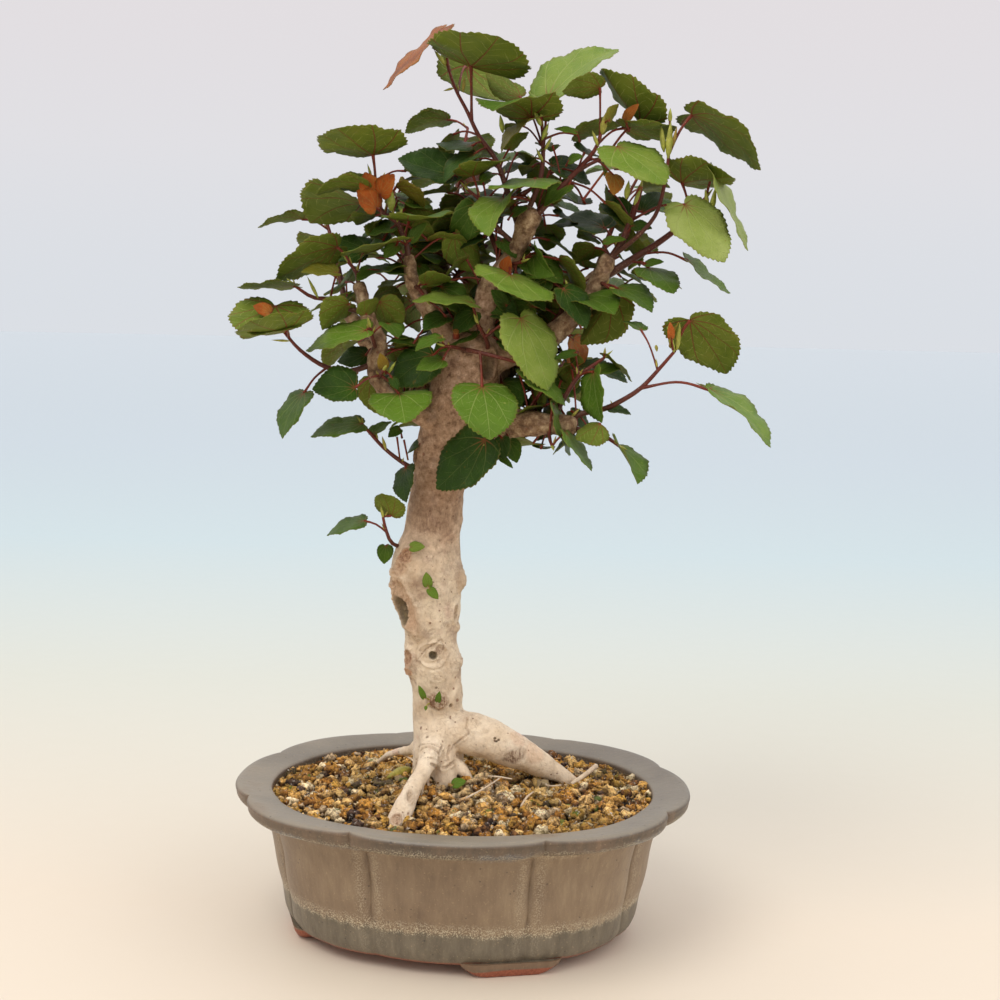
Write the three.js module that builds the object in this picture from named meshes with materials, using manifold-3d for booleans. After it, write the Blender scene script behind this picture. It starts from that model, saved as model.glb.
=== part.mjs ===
// Sea hibiscus bonsai in a lobed oval ceramic pot: pot, soil, trunk with its roots, and leafy shoots.
// Millimetres, +Z up, X along the pot's long axis, +Y away from the front. The pot's feet stand on Z = 0.
import * as THREE from 'three';
import { mergeVertices } from 'three/addons/utils/BufferGeometryUtils.js';
import Module from 'manifold-3d';

const wasm = await Module();
wasm.setup();

// Driving dimensions of the pot
const potLength = 240;
const potDepth = 193;
const potHeight = 80;
const ovalPower = 2.16; // a little squarer than an ellipse
const lobes = 8;
const segmentsPerLobe = 4;
const firstNotch = THREE.MathUtils.degToRad(22.5);
const notchDepth = 4.5; // how far the rim dips in between two lobes
const rimWidth = 18;
const rimHeight = 10;
const bodyInset = 12; // from the rim's edge to the body below it
const footInset = 27; // from the rim's edge to the body's lowest ring
const wallThickness = 6.5;
const footHeight = 8;
const footLength = 44;
const footWidth = 17;
const footSink = 5; // into the body above
const footOutset = 2; // beyond the body's lowest ring
const floorThickness = 8;
const drainRadius = 8;
const drainSpacing = 80;
const drainSides = 8;
const lobeFullness = 0.7; // under 1 a lobe is flatter, with a sharper notch beside it
const ovalCore = 90; // inside this radius the plan keeps its oval shape and only shrinks

// Driving dimensions of the soil
const soilTop = 72;
const soilCrown = 5; // the soil rises this far towards the trunk
const grainHeight = 1.8; // how far a grain is lifted or sunk at most
const soilRings = 10;
const soilRoom = 0.8; // between the soil's wall and the pot's

// Driving dimensions of the plant
const clearance = 0.3;
const bladeThickness = 0.8;
const stalkWidth = 1.5;
const trunkSides = 12;
const trunkSteps = 15;
const branchSides = 6;
const stemSides = 4;
const stemSamples = 30; // places along a stem where a leaf may sit
const trunkFoot = 58; // the trunk ends this high, inside the soil

const up = new THREE.Vector3(0, 0, 1);
const across = new THREE.Vector3(1, 0, 0);

// The plant's places were read off one front view: a column and a row of it, and how far back the point lies
const frontView = {
  focalLength: 1450,
  centre: 500,
  eye: new THREE.Vector3(61, -756, 321),
  heading: THREE.MathUtils.degToRad(3.34),
  pitch: THREE.MathUtils.degToRad(6.69),
  roll: THREE.MathUtils.degToRad(1.25),
};

function seen([column, row, back]) {
  const right = (column - frontView.centre) / frontView.focalLength;
  const rise = (frontView.centre - row) / frontView.focalLength;
  const ray = new THREE.Vector3(right, rise, -1);
  ray.applyAxisAngle(up, frontView.roll);
  ray.applyAxisAngle(across, Math.PI / 2 - frontView.pitch);
  ray.applyAxisAngle(up, frontView.heading);
  const reach = (back - frontView.eye.y) / ray.y;
  return frontView.eye.clone().addScaledVector(ray, reach);
}

// Solids

function toSolid(geometry) {
  geometry.deleteAttribute('normal');
  geometry.deleteAttribute('uv');
  const merged = mergeVertices(geometry, 1e-4);
  const vertProperties = new Float32Array(merged.attributes.position.array);
  const triVerts = new Uint32Array(merged.index.array);
  return new wasm.Manifold(new wasm.Mesh({ numProp: 3, vertProperties, triVerts }));
}

function toGeometry(solid) {
  const { vertProperties, triVerts } = solid.getMesh();
  const geometry = new THREE.BufferGeometry();
  geometry.setAttribute('position', new THREE.BufferAttribute(vertProperties, 3));
  geometry.setIndex(new THREE.BufferAttribute(triVerts, 1));
  return geometry;
}

function fuse(solids) {
  return solids.reduce((whole, piece) => whole.add(piece));
}

function largestPiece(solid) {
  const pieces = solid.decompose();
  return pieces.reduce((best, piece) => (piece.volume() > best.volume() ? piece : best));
}

// The radius at a share of the length, from radii given at the points or spread evenly over the length
function girthAlong(points, radii) {
  const reached = radii.map((_, i) => i / (radii.length - 1));
  if (radii.length === points.length) {
    for (let i = 1; i < points.length; i += 1) {
      reached[i] = reached[i - 1] + points[i].distanceTo(points[i - 1]);
    }
  }
  const total = reached[reached.length - 1];
  return (share) => {
    const after = reached.findIndex((length, i) => i > 0 && length >= share * total);
    const part = (share * total - reached[after - 1]) / (reached[after] - reached[after - 1]);
    return THREE.MathUtils.lerp(radii[after - 1], radii[after], part);
  };
}

// A tapered tube: a thin wire is extruded along the curve, then each ring of it is swollen to its radius.
// With room, it is that much thicker and longer all round.
function taperedTube(points, radii, sides, steps, room = 0) {
  const path = new THREE.CatmullRomCurve3(points, false, 'centripetal');
  const corners = [];
  for (let i = 0; i < sides; i += 1) {
    const angle = (i / sides) * Math.PI * 2;
    corners.push(new THREE.Vector2(Math.cos(angle), Math.sin(angle)));
  }
  const wireRadius = 0.1;
  const section = new THREE.Shape(corners.map((corner) => corner.multiplyScalar(wireRadius)));
  const wire = new THREE.ExtrudeGeometry(section, { steps, bevelEnabled: false, extrudePath: path });
  const rings = path.getSpacedPoints(steps);
  const girth = girthAlong(points, radii);
  const position = wire.attributes.position;
  const vertex = new THREE.Vector3();
  for (let i = 0; i < position.count; i += 1) {
    vertex.fromBufferAttribute(position, i);
    const distances = rings.map((ring) => ring.distanceTo(vertex));
    const nearest = distances.indexOf(Math.min(...distances));
    const radius = girth(nearest / steps) + room;
    vertex.sub(rings[nearest]).multiplyScalar(radius / wireRadius).add(rings[nearest]);
    if (nearest === 0) {
      vertex.addScaledVector(path.getTangentAt(0), -room);
    } else if (nearest === steps) {
      vertex.addScaledVector(path.getTangentAt(1), room);
    }
    position.setXYZ(i, vertex.x, vertex.y, vertex.z);
  }
  return toSolid(wire);
}

// Pot

// A point of the lobed oval that the circle of this radius becomes, dipping in at the notches
function lobedPoint(angle, radius, notchShare) {
  const sideways = ((potLength - potDepth) / 2) * Math.min(1, radius / ovalCore);
  const halfDepth = radius - sideways;
  const cosine = Math.cos(angle);
  const sine = Math.sin(angle);
  const x = radius * Math.sign(cosine) * Math.abs(cosine) ** (2 / ovalPower);
  const y = halfDepth * Math.sign(sine) * Math.abs(sine) ** (2 / ovalPower);
  const turn = ((angle - firstNotch) / (Math.PI * 2)) * lobes;
  const bulge = Math.sin(Math.PI * (turn - Math.floor(turn))) ** lobeFullness;
  const shrink = 1 - (notchShare * notchDepth * (1 - bulge)) / radius;
  return new THREE.Vector2(x * shrink, y * shrink);
}

// A profile turned round the axis, its circles pulled into the lobed oval and its grained rings made rough
function lobedSolid(profile) {
  const segments = lobes * segmentsPerLobe;
  const outline = profile.map(({ radius, height }) => new THREE.Vector2(radius, height));
  const turned = new THREE.LatheGeometry(outline, segments, firstNotch);
  turned.rotateX(Math.PI / 2);
  const position = turned.attributes.position;
  for (let i = 0; i < position.count; i += 1) {
    const ring = i % profile.length;
    const { radius, height, notch, grained } = profile[ring];
    if (radius > 0) {
      const segment = Math.floor(i / profile.length) % segments;
      const point = lobedPoint(Math.atan2(position.getY(i), position.getX(i)), radius, notch);
      const lift = grained ? grainLift(ring * segments + segment) : 0;
      position.setXYZ(i, point.x, point.y, height + lift);
    }
  }
  return toSolid(turned);
}

// A height that looks random, and is the same for the same place each time
function grainLift(place) {
  const scramble = Math.sin(place * 12.9898) * 43758.5453;
  return grainHeight * 2 * (scramble - Math.floor(scramble) - 0.5);
}

const rimRadius = potLength / 2;
const bodyRadius = rimRadius - bodyInset;
const lowRadius = rimRadius - footInset;
const innerRadius = rimRadius - rimWidth;
const wellFloor = footHeight + floorThickness;
const rimFoot = potHeight - rimHeight;
const lipNotch = 1;
const bodyNotch = 0.85;
const wellTop = { radius: bodyRadius - wallThickness, height: potHeight - 18, notch: bodyNotch };
const wellEdge = { radius: innerRadius, height: potHeight - 2, notch: lipNotch };
const wellFoot = { radius: lowRadius - 7, height: wellFloor, notch: bodyNotch };

function makePot() {
  const shell = lobedSolid([
    { radius: 0, height: footHeight, notch: 0 },
    { radius: lowRadius - 7, height: footHeight, notch: bodyNotch },
    { radius: lowRadius - 1.5, height: footHeight + 5, notch: bodyNotch },
    { radius: lowRadius + 0.5, height: footHeight + 11, notch: bodyNotch },
    { radius: lowRadius + 1, height: footHeight + 16, notch: bodyNotch },
    { radius: lowRadius + 5, height: footHeight + 26, notch: bodyNotch },
    { radius: bodyRadius - 4, height: rimFoot - 20, notch: bodyNotch },
    { radius: bodyRadius - 1, height: rimFoot - 8, notch: bodyNotch },
    { radius: bodyRadius + 2, height: rimFoot - 1, notch: lipNotch },
    { radius: rimRadius - 4, height: rimFoot, notch: lipNotch },
    { radius: rimRadius, height: rimFoot + 5, notch: lipNotch },
    { radius: rimRadius - 2, height: potHeight - 0.5, notch: lipNotch },
    { radius: rimRadius - 5, height: potHeight, notch: lipNotch },
    wellEdge,
    wellTop,
    wellFoot,
    { radius: 0, height: wellFloor, notch: 0 },
  ]);
  const drains = [-1, 1].map((side) => {
    const drain = new THREE.CylinderGeometry(drainRadius, drainRadius, floorThickness * 3, drainSides);
    drain.rotateX(Math.PI / 2);
    drain.translate((side * drainSpacing) / 2, 0, footHeight + floorThickness / 2);
    return toSolid(drain);
  });
  return fuse([shell, ...makeFeet()]).subtract(fuse(drains));
}

// Four low feet under every second notch, each a bar with rounded ends that leans out a little
function makeFeet() {
  return [0, 2, 4, 6].map((notch) => {
    const angle = firstNotch + (notch / lobes) * Math.PI * 2 + Math.PI;
    const place = lobedPoint(angle, lowRadius - footWidth / 2 + footOutset, 1);
    const along = lobedPoint(angle + 0.05, lowRadius, 1).sub(lobedPoint(angle - 0.05, lowRadius, 1));
    const bar = new THREE.Shape();
    const half = footLength / 2 - footWidth / 2;
    bar.absarc(half, 0, footWidth / 2, -Math.PI / 2, Math.PI / 2);
    bar.absarc(-half, 0, footWidth / 2, Math.PI / 2, Math.PI * 1.5);
    const depth = footHeight + footSink;
    const foot = new THREE.ExtrudeGeometry(bar, { depth, steps: 1, curveSegments: 3, bevelEnabled: false });
    foot.rotateZ(Math.atan2(along.y, along.x));
    foot.translate(place.x, place.y, 0);
    return toSolid(foot);
  });
}

// Soil

// A low dome of coarse grains that fills the pot to just below its rim
function makeSoil() {
  const share = (wellEdge.height - soilTop) / (wellEdge.height - wellTop.height);
  const soilRadius = THREE.MathUtils.lerp(wellEdge.radius, wellTop.radius, share) - soilRoom;
  const profile = [
    { radius: 0, height: wellFloor + clearance, notch: 0 },
    { ...wellFoot, radius: wellFoot.radius - soilRoom, height: wellFloor + clearance },
    { ...wellTop, radius: wellTop.radius - soilRoom },
  ];
  for (let ring = soilRings; ring >= 0; ring -= 1) {
    const reach = ring / soilRings;
    const height = soilTop + soilCrown * Math.cos(reach * Math.PI * 0.5);
    profile.push({ radius: soilRadius * reach, height, notch: reach * bodyNotch, grained: ring < soilRings });
  }
  return lobedSolid(profile);
}

// Trunk, roots and woody branches: one grown body

const trunkLine = [
  { at: [437, 800, 10], radius: 15 },
  { at: [437, 745, 10], radius: 13.5 },
  { at: [437, 692, 9], radius: 12.8 },
  { at: [432, 640, 8], radius: 13.8 },
  { at: [430, 600, 7], radius: 16.5 },
  { at: [428, 560, 6], radius: 17.5 },
  { at: [432, 520, 6], radius: 14.2 },
  { at: [438, 488, 5], radius: 13.6 },
  { at: [446, 450, 4], radius: 16.5 },
  { at: [460, 405, 3], radius: 17.5 },
  { at: [468, 370, 4], radius: 18 },
  { at: [476, 336, 5], radius: 15.5 },
];

const branchLines = {
  upper: { radii: [8, 6.5, 5.5, 4.5], points: [[478, 350, 4], [490, 290, 2], [518, 240, 0], [527, 208, -2]] },
  right: { radii: [8, 6, 5, 4], points: [[488, 362, 2], [556, 332, 5], [590, 296, 8], [610, 256, 5]] },
  left: {
    radii: [7, 5, 4.5, 4.5, 4.3, 4, 3.5],
    points: [
      [452, 430, -2], [415, 412, -9], [385, 392, -13], [374, 365, -13],
      [380, 345, -11], [368, 318, -9], [358, 283, -6],
    ],
  },
  leftUpper: {
    radii: [6.5, 4.5, 4, 3.2],
    points: [[466, 356, 0], [436, 320, -2], [413, 283, -6], [409, 254, -7]],
  },
  lowerRight: {
    radii: [9, 7.5, 5.5, 5],
    points: [[462, 424, -2], [510, 424, -8], [546, 424, -13], [577, 426, -16]],
  },
  backUpper: { radii: [7, 6, 5, 4], points: [[474, 350, 8], [452, 312, 34], [440, 262, 56], [452, 222, 70]] },
  backRight: {
    radii: [7.5, 6, 5, 4],
    points: [[474, 388, 8], [524, 352, 40], [566, 316, 62], [596, 274, 74]],
  },
  backLeft: {
    radii: [7, 5.5, 4.5, 3.8],
    points: [[456, 410, 8], [412, 384, 36], [372, 350, 54], [344, 304, 62]],
  },
};

const rootLines = {
  rightArch: {
    radii: [11, 11, 9.5, 8, 7, 5.5],
    points: [[444, 725, 8], [478, 734, 4], [508, 746, 4], [540, 760, 8], [572, 779, 14], [588, 800, 18]],
  },
  front: {
    radii: [10, 9, 7.5, 7, 8, 6.5],
    points: [
      [437, 738, 6], [430, 752, -10], [421, 775, -26],
      [406, 800, -42], [398, 818, -54], [396, 842, -59],
    ],
  },
  middleStub: { radii: [9, 8, 6.5], points: [[440, 742, 4], [447, 768, -14], [452, 792, -24]] },
  rightStub: { radii: [8, 6, 5], points: [[450, 742, 4], [466, 766, -8], [474, 790, -14]] },
  backLeft: {
    radii: [9, 6, 4.5, 3.5],
    points: [[430, 736, 10], [402, 736, 22], [378, 744, 30], [356, 768, 36]],
  },
  back: {
    radii: [10, 7.5, 6, 4.5],
    points: [[440, 732, 12], [446, 732, 34], [458, 738, 56], [470, 756, 70]],
  },
};

function makeTrunk(room) {
  const line = trunkLine.map(({ at }) => seen(at));
  line[0].z = trunkFoot;
  const girths = trunkLine.map(({ radius }) => radius);
  const trunk = taperedTube(line, girths, trunkSides, trunkSteps, room);
  const limbs = [...Object.values(branchLines), ...Object.values(rootLines)].map(({ radii, points }) => (
    taperedTube(points.map(seen), radii, branchSides, points.length, room)));
  return fuse([trunk, ...limbs]);
}

// Leaves

// Half of the toothed, heart-shaped outline, from the stalk's seat to the drawn-out tip: across, along
const heartHalf = [
  [0.23, -0.13], [0.47, -0.07], [0.53, 0.15], [0.45, 0.29], [0.47, 0.43], [0.24, 0.75], [0, 1],
];
const smallHalf = [[0.34, -0.1], [0.52, 0.16], [0.44, 0.4], [0.22, 0.72], [0, 1]];
const largeLeaf = 28; // a longer blade gets the full outline
const ribPlace = 0.5; // where the midrib is split, as a share of the blade's length
const foldShare = 0.28; // how steeply the two halves rise from the midrib
const archShare = 0.32; // the midrib's arch, against the blade's length
const waveShare = 0.07; // the edge's wave, against the blade's length
const waveAlong = 11; // radians of wave from the base to the tip
const waveAcross = 4;
const bendPlace = 0.55; // where a long stalk bends, and how far up, as shares of its length
const bendRise = 0.1;

// The stalk's sections and the blade's outline run on in one closed skin, so that each leaf is one solid
function makeLeaf(half, seat, base, tip, wide, rollDegrees) {
  const length = base.distanceTo(tip);
  const along = tip.clone().sub(base).normalize();
  const side = along.clone().cross(up).normalize();
  side.applyAxisAngle(along, THREE.MathUtils.degToRad(rollDegrees));
  const face = side.clone().cross(along);

  const stalkEdge = [stalkWidth / 2 / wide, 0];
  const rightEdge = [stalkEdge, ...half].map(([x, y]) => new THREE.Vector2(x, y));
  const leftEdge = [stalkEdge, ...half.slice(0, -1)].map(([x, y]) => new THREE.Vector2(-x, y)).reverse();
  const plan = [...rightEdge, ...leftEdge, new THREE.Vector2(0, ribPlace)];
  const rib = plan.length - 1;
  const rimEnd = rib - 1;
  const tipIndex = rightEdge.length - 1;
  const rightLoop = [...rightEdge.keys(), rib];
  const leftLoop = [rib, tipIndex, ...leftEdge.keys().map((i) => tipIndex + 1 + i)];
  const faces = [rightLoop, leftLoop].flatMap((loop) => {
    const contour = loop.map((i) => plan[i]);
    return THREE.ShapeUtils.triangulateShape(contour, []).map((corners) => corners.map((i) => loop[i]));
  });
  faces.push([rimEnd, 0, rib]);

  const places = plan.map(({ x, y }) => {
    const fold = foldShare * wide * Math.abs(x);
    const arch = archShare * length * y * (1 - y);
    const wave = waveShare * length * Math.abs(x) * Math.sin(y * waveAlong + x * waveAcross);
    return base.clone()
      .addScaledVector(along, y * length)
      .addScaledVector(side, x * wide)
      .addScaledVector(face, fold + arch + wave);
  });
  const lift = face.clone().multiplyScalar(bladeThickness / 2);
  const points = places.map((place) => place.clone().add(lift));
  points.push(...places.map((place) => place.clone().sub(lift)));
  const index = [];
  const under = plan.length; // the lower skin's points follow the upper skin's
  for (const [a, b, c] of faces) {
    index.push(a, b, c, under + a, under + c, under + b);
  }
  for (let i = 0; i < rimEnd; i += 1) {
    index.push(i, under + i, under + i + 1, i, under + i + 1, i + 1);
  }

  // Stalk: a section in the stem, and on a large leaf one half way, each with four corners
  const bend = seat.clone().lerp(base, bendPlace).addScaledVector(up, bendRise * seat.distanceTo(base));
  let near = [0, rimEnd, under + rimEnd, under];
  const sections = half === heartHalf ? [[bend, base], [seat, bend]] : [[seat, base]];
  for (const [centre, next] of sections) {
    const way = next.clone().sub(centre).normalize();
    const right = side.clone().addScaledVector(way, -side.dot(way)).normalize();
    const rise = right.clone().cross(way).multiplyScalar(bladeThickness / 2);
    right.multiplyScalar(stalkWidth / 2);
    const first = points.length;
    points.push(
      centre.clone().add(right).add(rise),
      centre.clone().sub(right).add(rise),
      centre.clone().sub(right).sub(rise),
      centre.clone().add(right).sub(rise),
    );
    const far = [first, first + 1, first + 2, first + 3];
    for (let k = 0; k < 4; k += 1) {
      const m = (k + 1) % 4;
      index.push(far[k], near[k], near[m], far[k], near[m], far[m]);
    }
    near = far;
  }
  index.push(near[0], near[1], near[2], near[0], near[2], near[3]);

  const geometry = new THREE.BufferGeometry().setFromPoints(points);
  geometry.setIndex(index);
  return toSolid(geometry);
}

// Leafy shoots of the front, the sides and the top: stems and leaves as the front view shows them
const shoots = {
  crownLeft: {
    stems: [{
      radii: [2.6, 2.2, 1.8, 1.4, 1.1],
      points: [
        [519, 228, 2], [510, 200, 6], [496, 160, 5], [479, 136, 5],
        [467, 111, 6], [455, 88, 8], [447, 64, 10],
      ],
    }],
    leaves: [
      { stalk: [472, 120], base: [471, 66, 0], tip: [425, 33, -32], wide: 38, roll: 0 },
      { stalk: [458, 92], base: [470, 80, 38], tip: [500, 38, 18], wide: 42, roll: 25 },
      { stalk: [449, 72], base: [420, 52, 8], tip: [382, 90, 4], wide: 14, roll: -60 },
      { stalk: [480, 139], base: [470, 145, 2], tip: [430, 150, -8], wide: 14, roll: -20 },
      { stalk: [500, 166], base: [509, 149, 0], tip: [528, 131, -8], wide: 14, roll: 0 },
      { stalk: [502, 175], base: [508, 172, 14], tip: [540, 165, 28], wide: 16, roll: 10 },
    ],
  },
  crownMiddle: {
    stems: [{
      radii: [2.4, 2, 1.6, 1.2],
      points: [[526, 216, -2], [541, 176, -5], [543, 140, -5], [540, 108, -4]],
    }],
    leaves: [
      { stalk: [542, 164], base: [552, 98, 2], tip: [617, 45, 22], wide: 26, roll: 30 },
      { stalk: [541, 114], base: [533, 117, -4], tip: [508, 95, -34], wide: 36, roll: -8 },
      { stalk: [543, 144], base: [524, 104, 16], tip: [483, 76, 24], wide: 16, roll: -60 },
      { stalk: [541, 129], base: [532, 126, -8], tip: [499, 149, -14], wide: 9, roll: -50 },
      { stalk: [543, 140], base: [575, 137, 0], tip: [619, 124, 8], wide: 20, roll: -25 },
      { stalk: [541, 186], base: [541, 178, -12], tip: [501, 184, -38], wide: 34, roll: 2 },
      { stalk: [532, 200], base: [503, 200, -12], tip: [486, 235, -38], wide: 22, roll: -6 },
    ],
  },
  crownInner: {
    stems: [{
      radii: [2.2, 1.6, 1.2],
      points: [[517, 246, 0], [496, 226, 0], [480, 200, -2], [468, 190, -2]],
    }],
    leaves: [
      { stalk: [480, 200], base: [476, 176, -6], tip: [493, 158, -36], wide: 28, roll: -5 },
      { stalk: [470, 192], base: [455, 175, 4], tip: [397, 157, -6], wide: 18, roll: -40 },
      { stalk: [484, 206], base: [473, 205, 2], tip: [448, 238, -8], wide: 22, roll: -16 },
      { stalk: [496, 227], base: [484, 238, 8], tip: [460, 248, 2], wide: 13, roll: -20 },
    ],
  },
  crownRight: {
    stems: [
      {
        radii: [3, 2.5, 1.9, 1.3],
        points: [[526, 228, -1], [550, 200, -5], [572, 176, -8], [596, 148, -10], [602, 128, -10]],
      },
      { radii: [1.8, 1.4, 1.2], points: [[576, 172, -8], [590, 164, -10], [606, 157, -12]] },
    ],
    leaves: [
      { stalk: [600, 137], base: [601, 88, -16], tip: [570, 74, -40], wide: 30, roll: 5 },
      { stalk: [603, 128], base: [609, 120, -18], tip: [619, 104, -18], wide: 9, roll: -30 },
      { stalk: [597, 160], base: [619, 148, -16], tip: [655, 188, -42], wide: 38, roll: -10 },
      { stalk: [599, 143], base: [627, 130, 2], tip: [613, 118, 10], wide: 18, roll: 0 },
      { stalk: [606, 157], base: [641, 122, 4], tip: [601, 68, -10], wide: 40, roll: -5 },
      { stalk: [588, 160], base: [606, 178, -12], tip: [618, 194, -16], wide: 8, roll: -40 },
      { stalk: [570, 180], base: [585, 204, 14], tip: [549, 199, 28], wide: 16, roll: -10 },
    ],
  },
  rightUpper: {
    stems: [
      { radii: [3.2, 2.8, 2.2], points: [[609, 262, 5], [624, 238, 3], [632, 217, 1], [640, 190, -1]] },
      {
        radii: [2, 1.7, 1.4, 1],
        points: [
          [613, 256, 4], [640, 234, -6], [656, 214, -8],
          [665, 182, -8], [669, 150, -9], [670, 121, -10],
        ],
      },
    ],
    leaves: [
      { stalk: [669, 156], base: [692, 115, -8], tip: [761, 170, 4], wide: 34, roll: -25 },
      { stalk: [632, 219], base: [686, 205, -12], tip: [727, 263, -32], wide: 34, roll: -8 },
      { stalk: [634, 212], base: [642, 212, 6], tip: [660, 192, 16], wide: 12, roll: 30 },
      { stalk: [618, 246], base: [604, 228, 12], tip: [550, 224, 30], wide: 24, roll: -25 },
      { stalk: [627, 232], base: [622, 222, 10], tip: [604, 196, 26], wide: 18, roll: 0 },
    ],
  },
  rightLong: {
    stems: [{
      radii: [3.4, 2.8, 2.2, 1.6],
      points: [[603, 278, 8], [628, 262, 7], [655, 245, 5], [680, 226, 4], [706, 198, 3]],
    }],
    leaves: [
      { stalk: [692, 214], base: [685, 184, 8], tip: [725, 156, -8], wide: 36, roll: -15 },
      { stalk: [706, 200], base: [713, 176, -2], tip: [747, 246, -6], wide: 28, roll: 5 },
      { stalk: [645, 252], base: [690, 260, -2], tip: [731, 292, -12], wide: 26, roll: 3 },
      { stalk: [629, 260], base: [648, 271, 1], tip: [677, 292, -17], wide: 22, roll: 23 },
    ],
  },
  elbow: {
    stems: [{ radii: [2, 1.6], points: [[598, 283, 8], [604, 284, 2], [610, 288, -1]] }],
    leaves: [
      { stalk: [606, 285], base: [618, 288, -4], tip: [652, 305, -20], wide: 26, roll: 10 },
      { stalk: [608, 287], base: [611, 298, 2], tip: [600, 345, 16], wide: 28, roll: 0 },
    ],
  },
  rightSpray: {
    stems: [{
      radii: [2.4, 2.1, 1.7, 1.2],
      points: [
        [562, 422, -13], [584, 413, -15], [604, 409, -17], [621, 401, -19],
        [641, 388, -20], [660, 368, -21], [674, 352, -22],
      ],
    }],
    leaves: [
      { stalk: [674, 353], base: [691, 320, -24], tip: [728, 374, -6], wide: 38, roll: -10 },
      { stalk: [673, 355], base: [672, 346, -26], tip: [679, 322, -27], wide: 8, roll: 0 },
      { stalk: [659, 368], base: [641, 330, -16], tip: [632, 314, -6], wide: 12, roll: 0 },
      { stalk: [641, 389], base: [710, 389, -27], tip: [775, 443, -36], wide: 28, roll: 10 },
      { stalk: [612, 410], base: [616, 416, -14], tip: [633, 414, -22], wide: 10, roll: 20 },
    ],
  },
  leftTop: {
    stems: [{
      radii: [2.6, 2, 1.6, 1.2],
      points: [
        [409, 262, -7], [406, 242, -7], [397, 222, -8],
        [383, 213, -9], [376, 190, -10], [371, 176, -10],
      ],
    }],
    leaves: [
      { stalk: [376, 192], base: [371, 156, -12], tip: [336, 124, -42], wide: 42, roll: 0 },
      { stalk: [385, 214], base: [360, 206, 0], tip: [310, 224, 20], wide: 28, roll: 10 },
      { stalk: [378, 200], base: [368, 188, -16], tip: [314, 187, -32], wide: 22, roll: 12 },
      { stalk: [388, 216], base: [394, 187, -12], tip: [425, 200, -18], wide: 9, roll: 40 },
      { stalk: [391, 218], base: [400, 198, -4], tip: [432, 207, 2], wide: 10, roll: 40 },
      { stalk: [402, 235], base: [409, 221, -12], tip: [424, 212, -40], wide: 26, roll: 0 },
      { stalk: [396, 222], base: [391, 226, 1], tip: [358, 234, 14], wide: 18, roll: 20 },
      { stalk: [407, 252], base: [418, 232, 2], tip: [449, 246, 12], wide: 16, roll: 20 },
      { stalk: [406, 246], base: [397, 242, -14], tip: [343, 254, -30], wide: 24, roll: -4 },
    ],
  },
  leftFar: {
    stems: [{
      radii: [2.6, 2, 1.6, 1.1],
      points: [[366, 312, -8], [350, 309, -11], [330, 300, -13], [312, 297, -14], [295, 286, -16]],
    }],
    leaves: [
      { stalk: [298, 288], base: [294, 284, -18], tip: [235, 288, -32], wide: 30, roll: -3 },
      { stalk: [330, 300], base: [336, 276, -18], tip: [301, 270, -20], wide: 8, roll: -40 },
      { stalk: [350, 309], base: [347, 304, -18], tip: [318, 327, -30], wide: 20, roll: -15 },
      { stalk: [364, 312], base: [366, 314, -20], tip: [375, 297, -28], wide: 13, roll: 10 },
    ],
  },
  leftHook: {
    stems: [{ radii: [2, 1.5, 1.2], points: [[359, 288, -6], [356, 272, -6], [348, 262, -6]] }],
    leaves: [
      { stalk: [352, 266], base: [337, 248, -10], tip: [275, 277, -16], wide: 28, roll: 25 },
      { stalk: [357, 274], base: [362, 256, 14], tip: [322, 232, 26], wide: 24, roll: -30 },
    ],
  },
  leftLow: {
    stems: [{
      radii: [2.4, 2, 1.6, 1.1],
      points: [[373, 364, -13], [350, 371, -16], [326, 367, -19], [300, 350, -21], [284, 332, -22]],
    }],
    leaves: [
      { stalk: [286, 334], base: [275, 305, -22], tip: [254, 350, -48], wide: 42, roll: 0 },
      { stalk: [290, 340], base: [284, 333, -14], tip: [236, 333, 6], wide: 28, roll: 20 },
      { stalk: [326, 368], base: [308, 393, -24], tip: [281, 440, -38], wide: 20, roll: -10 },
    ],
  },
  leftFront: {
    stems: [{ radii: [2, 1.6, 1.3], points: [[378, 380, -13], [381, 374, -22], [384, 370, -28]] }],
    leaves: [
      { stalk: [381, 374], base: [399, 394, -22], tip: [404, 424, -52], wide: 36, roll: 0 },
      { stalk: [380, 376], base: [356, 388, -28], tip: [312, 389, -42], wide: 30, roll: -35 },
    ],
  },
  leftInner: {
    stems: [{ radii: [2, 1.5, 1.2], points: [[377, 352, -12], [373, 340, -17], [370, 328, -20]] }],
    leaves: [
      { stalk: [371, 330], base: [366, 332, -22], tip: [304, 347, -36], wide: 24, roll: -20 },
      { stalk: [375, 346], base: [368, 354, -6], tip: [340, 373, 6], wide: 18, roll: -20 },
      { stalk: [372, 336], base: [388, 324, -24], tip: [398, 338, -32], wide: 14, roll: 0 },
    ],
  },
  middleLeft: {
    stems: [{ radii: [2, 1.6, 1.2], points: [[414, 286, -6], [420, 290, -14], [426, 300, -18]] }],
    leaves: [
      { stalk: [418, 288], base: [426, 284, -14], tip: [451, 277, -24], wide: 15, roll: -20 },
      { stalk: [426, 298], base: [446, 317, -14], tip: [423, 330, -22], wide: 15, roll: -25 },
    ],
  },
  frontSpur: {
    stems: [{ radii: [2.2, 1.8, 1.2], points: [[484, 350, 0], [488, 344, -14], [478, 324, -20]] }],
    leaves: [
      { stalk: [479, 325], base: [470, 306, -20], tip: [412, 302, -36], wide: 32, roll: -2 },
      { stalk: [484, 336], base: [521, 319, -24], tip: [551, 393, -42], wide: 28, roll: 30 },
    ],
  },
  frontTwig: {
    stems: [
      {
        radii: [2.4, 2, 1.6, 1.2],
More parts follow.
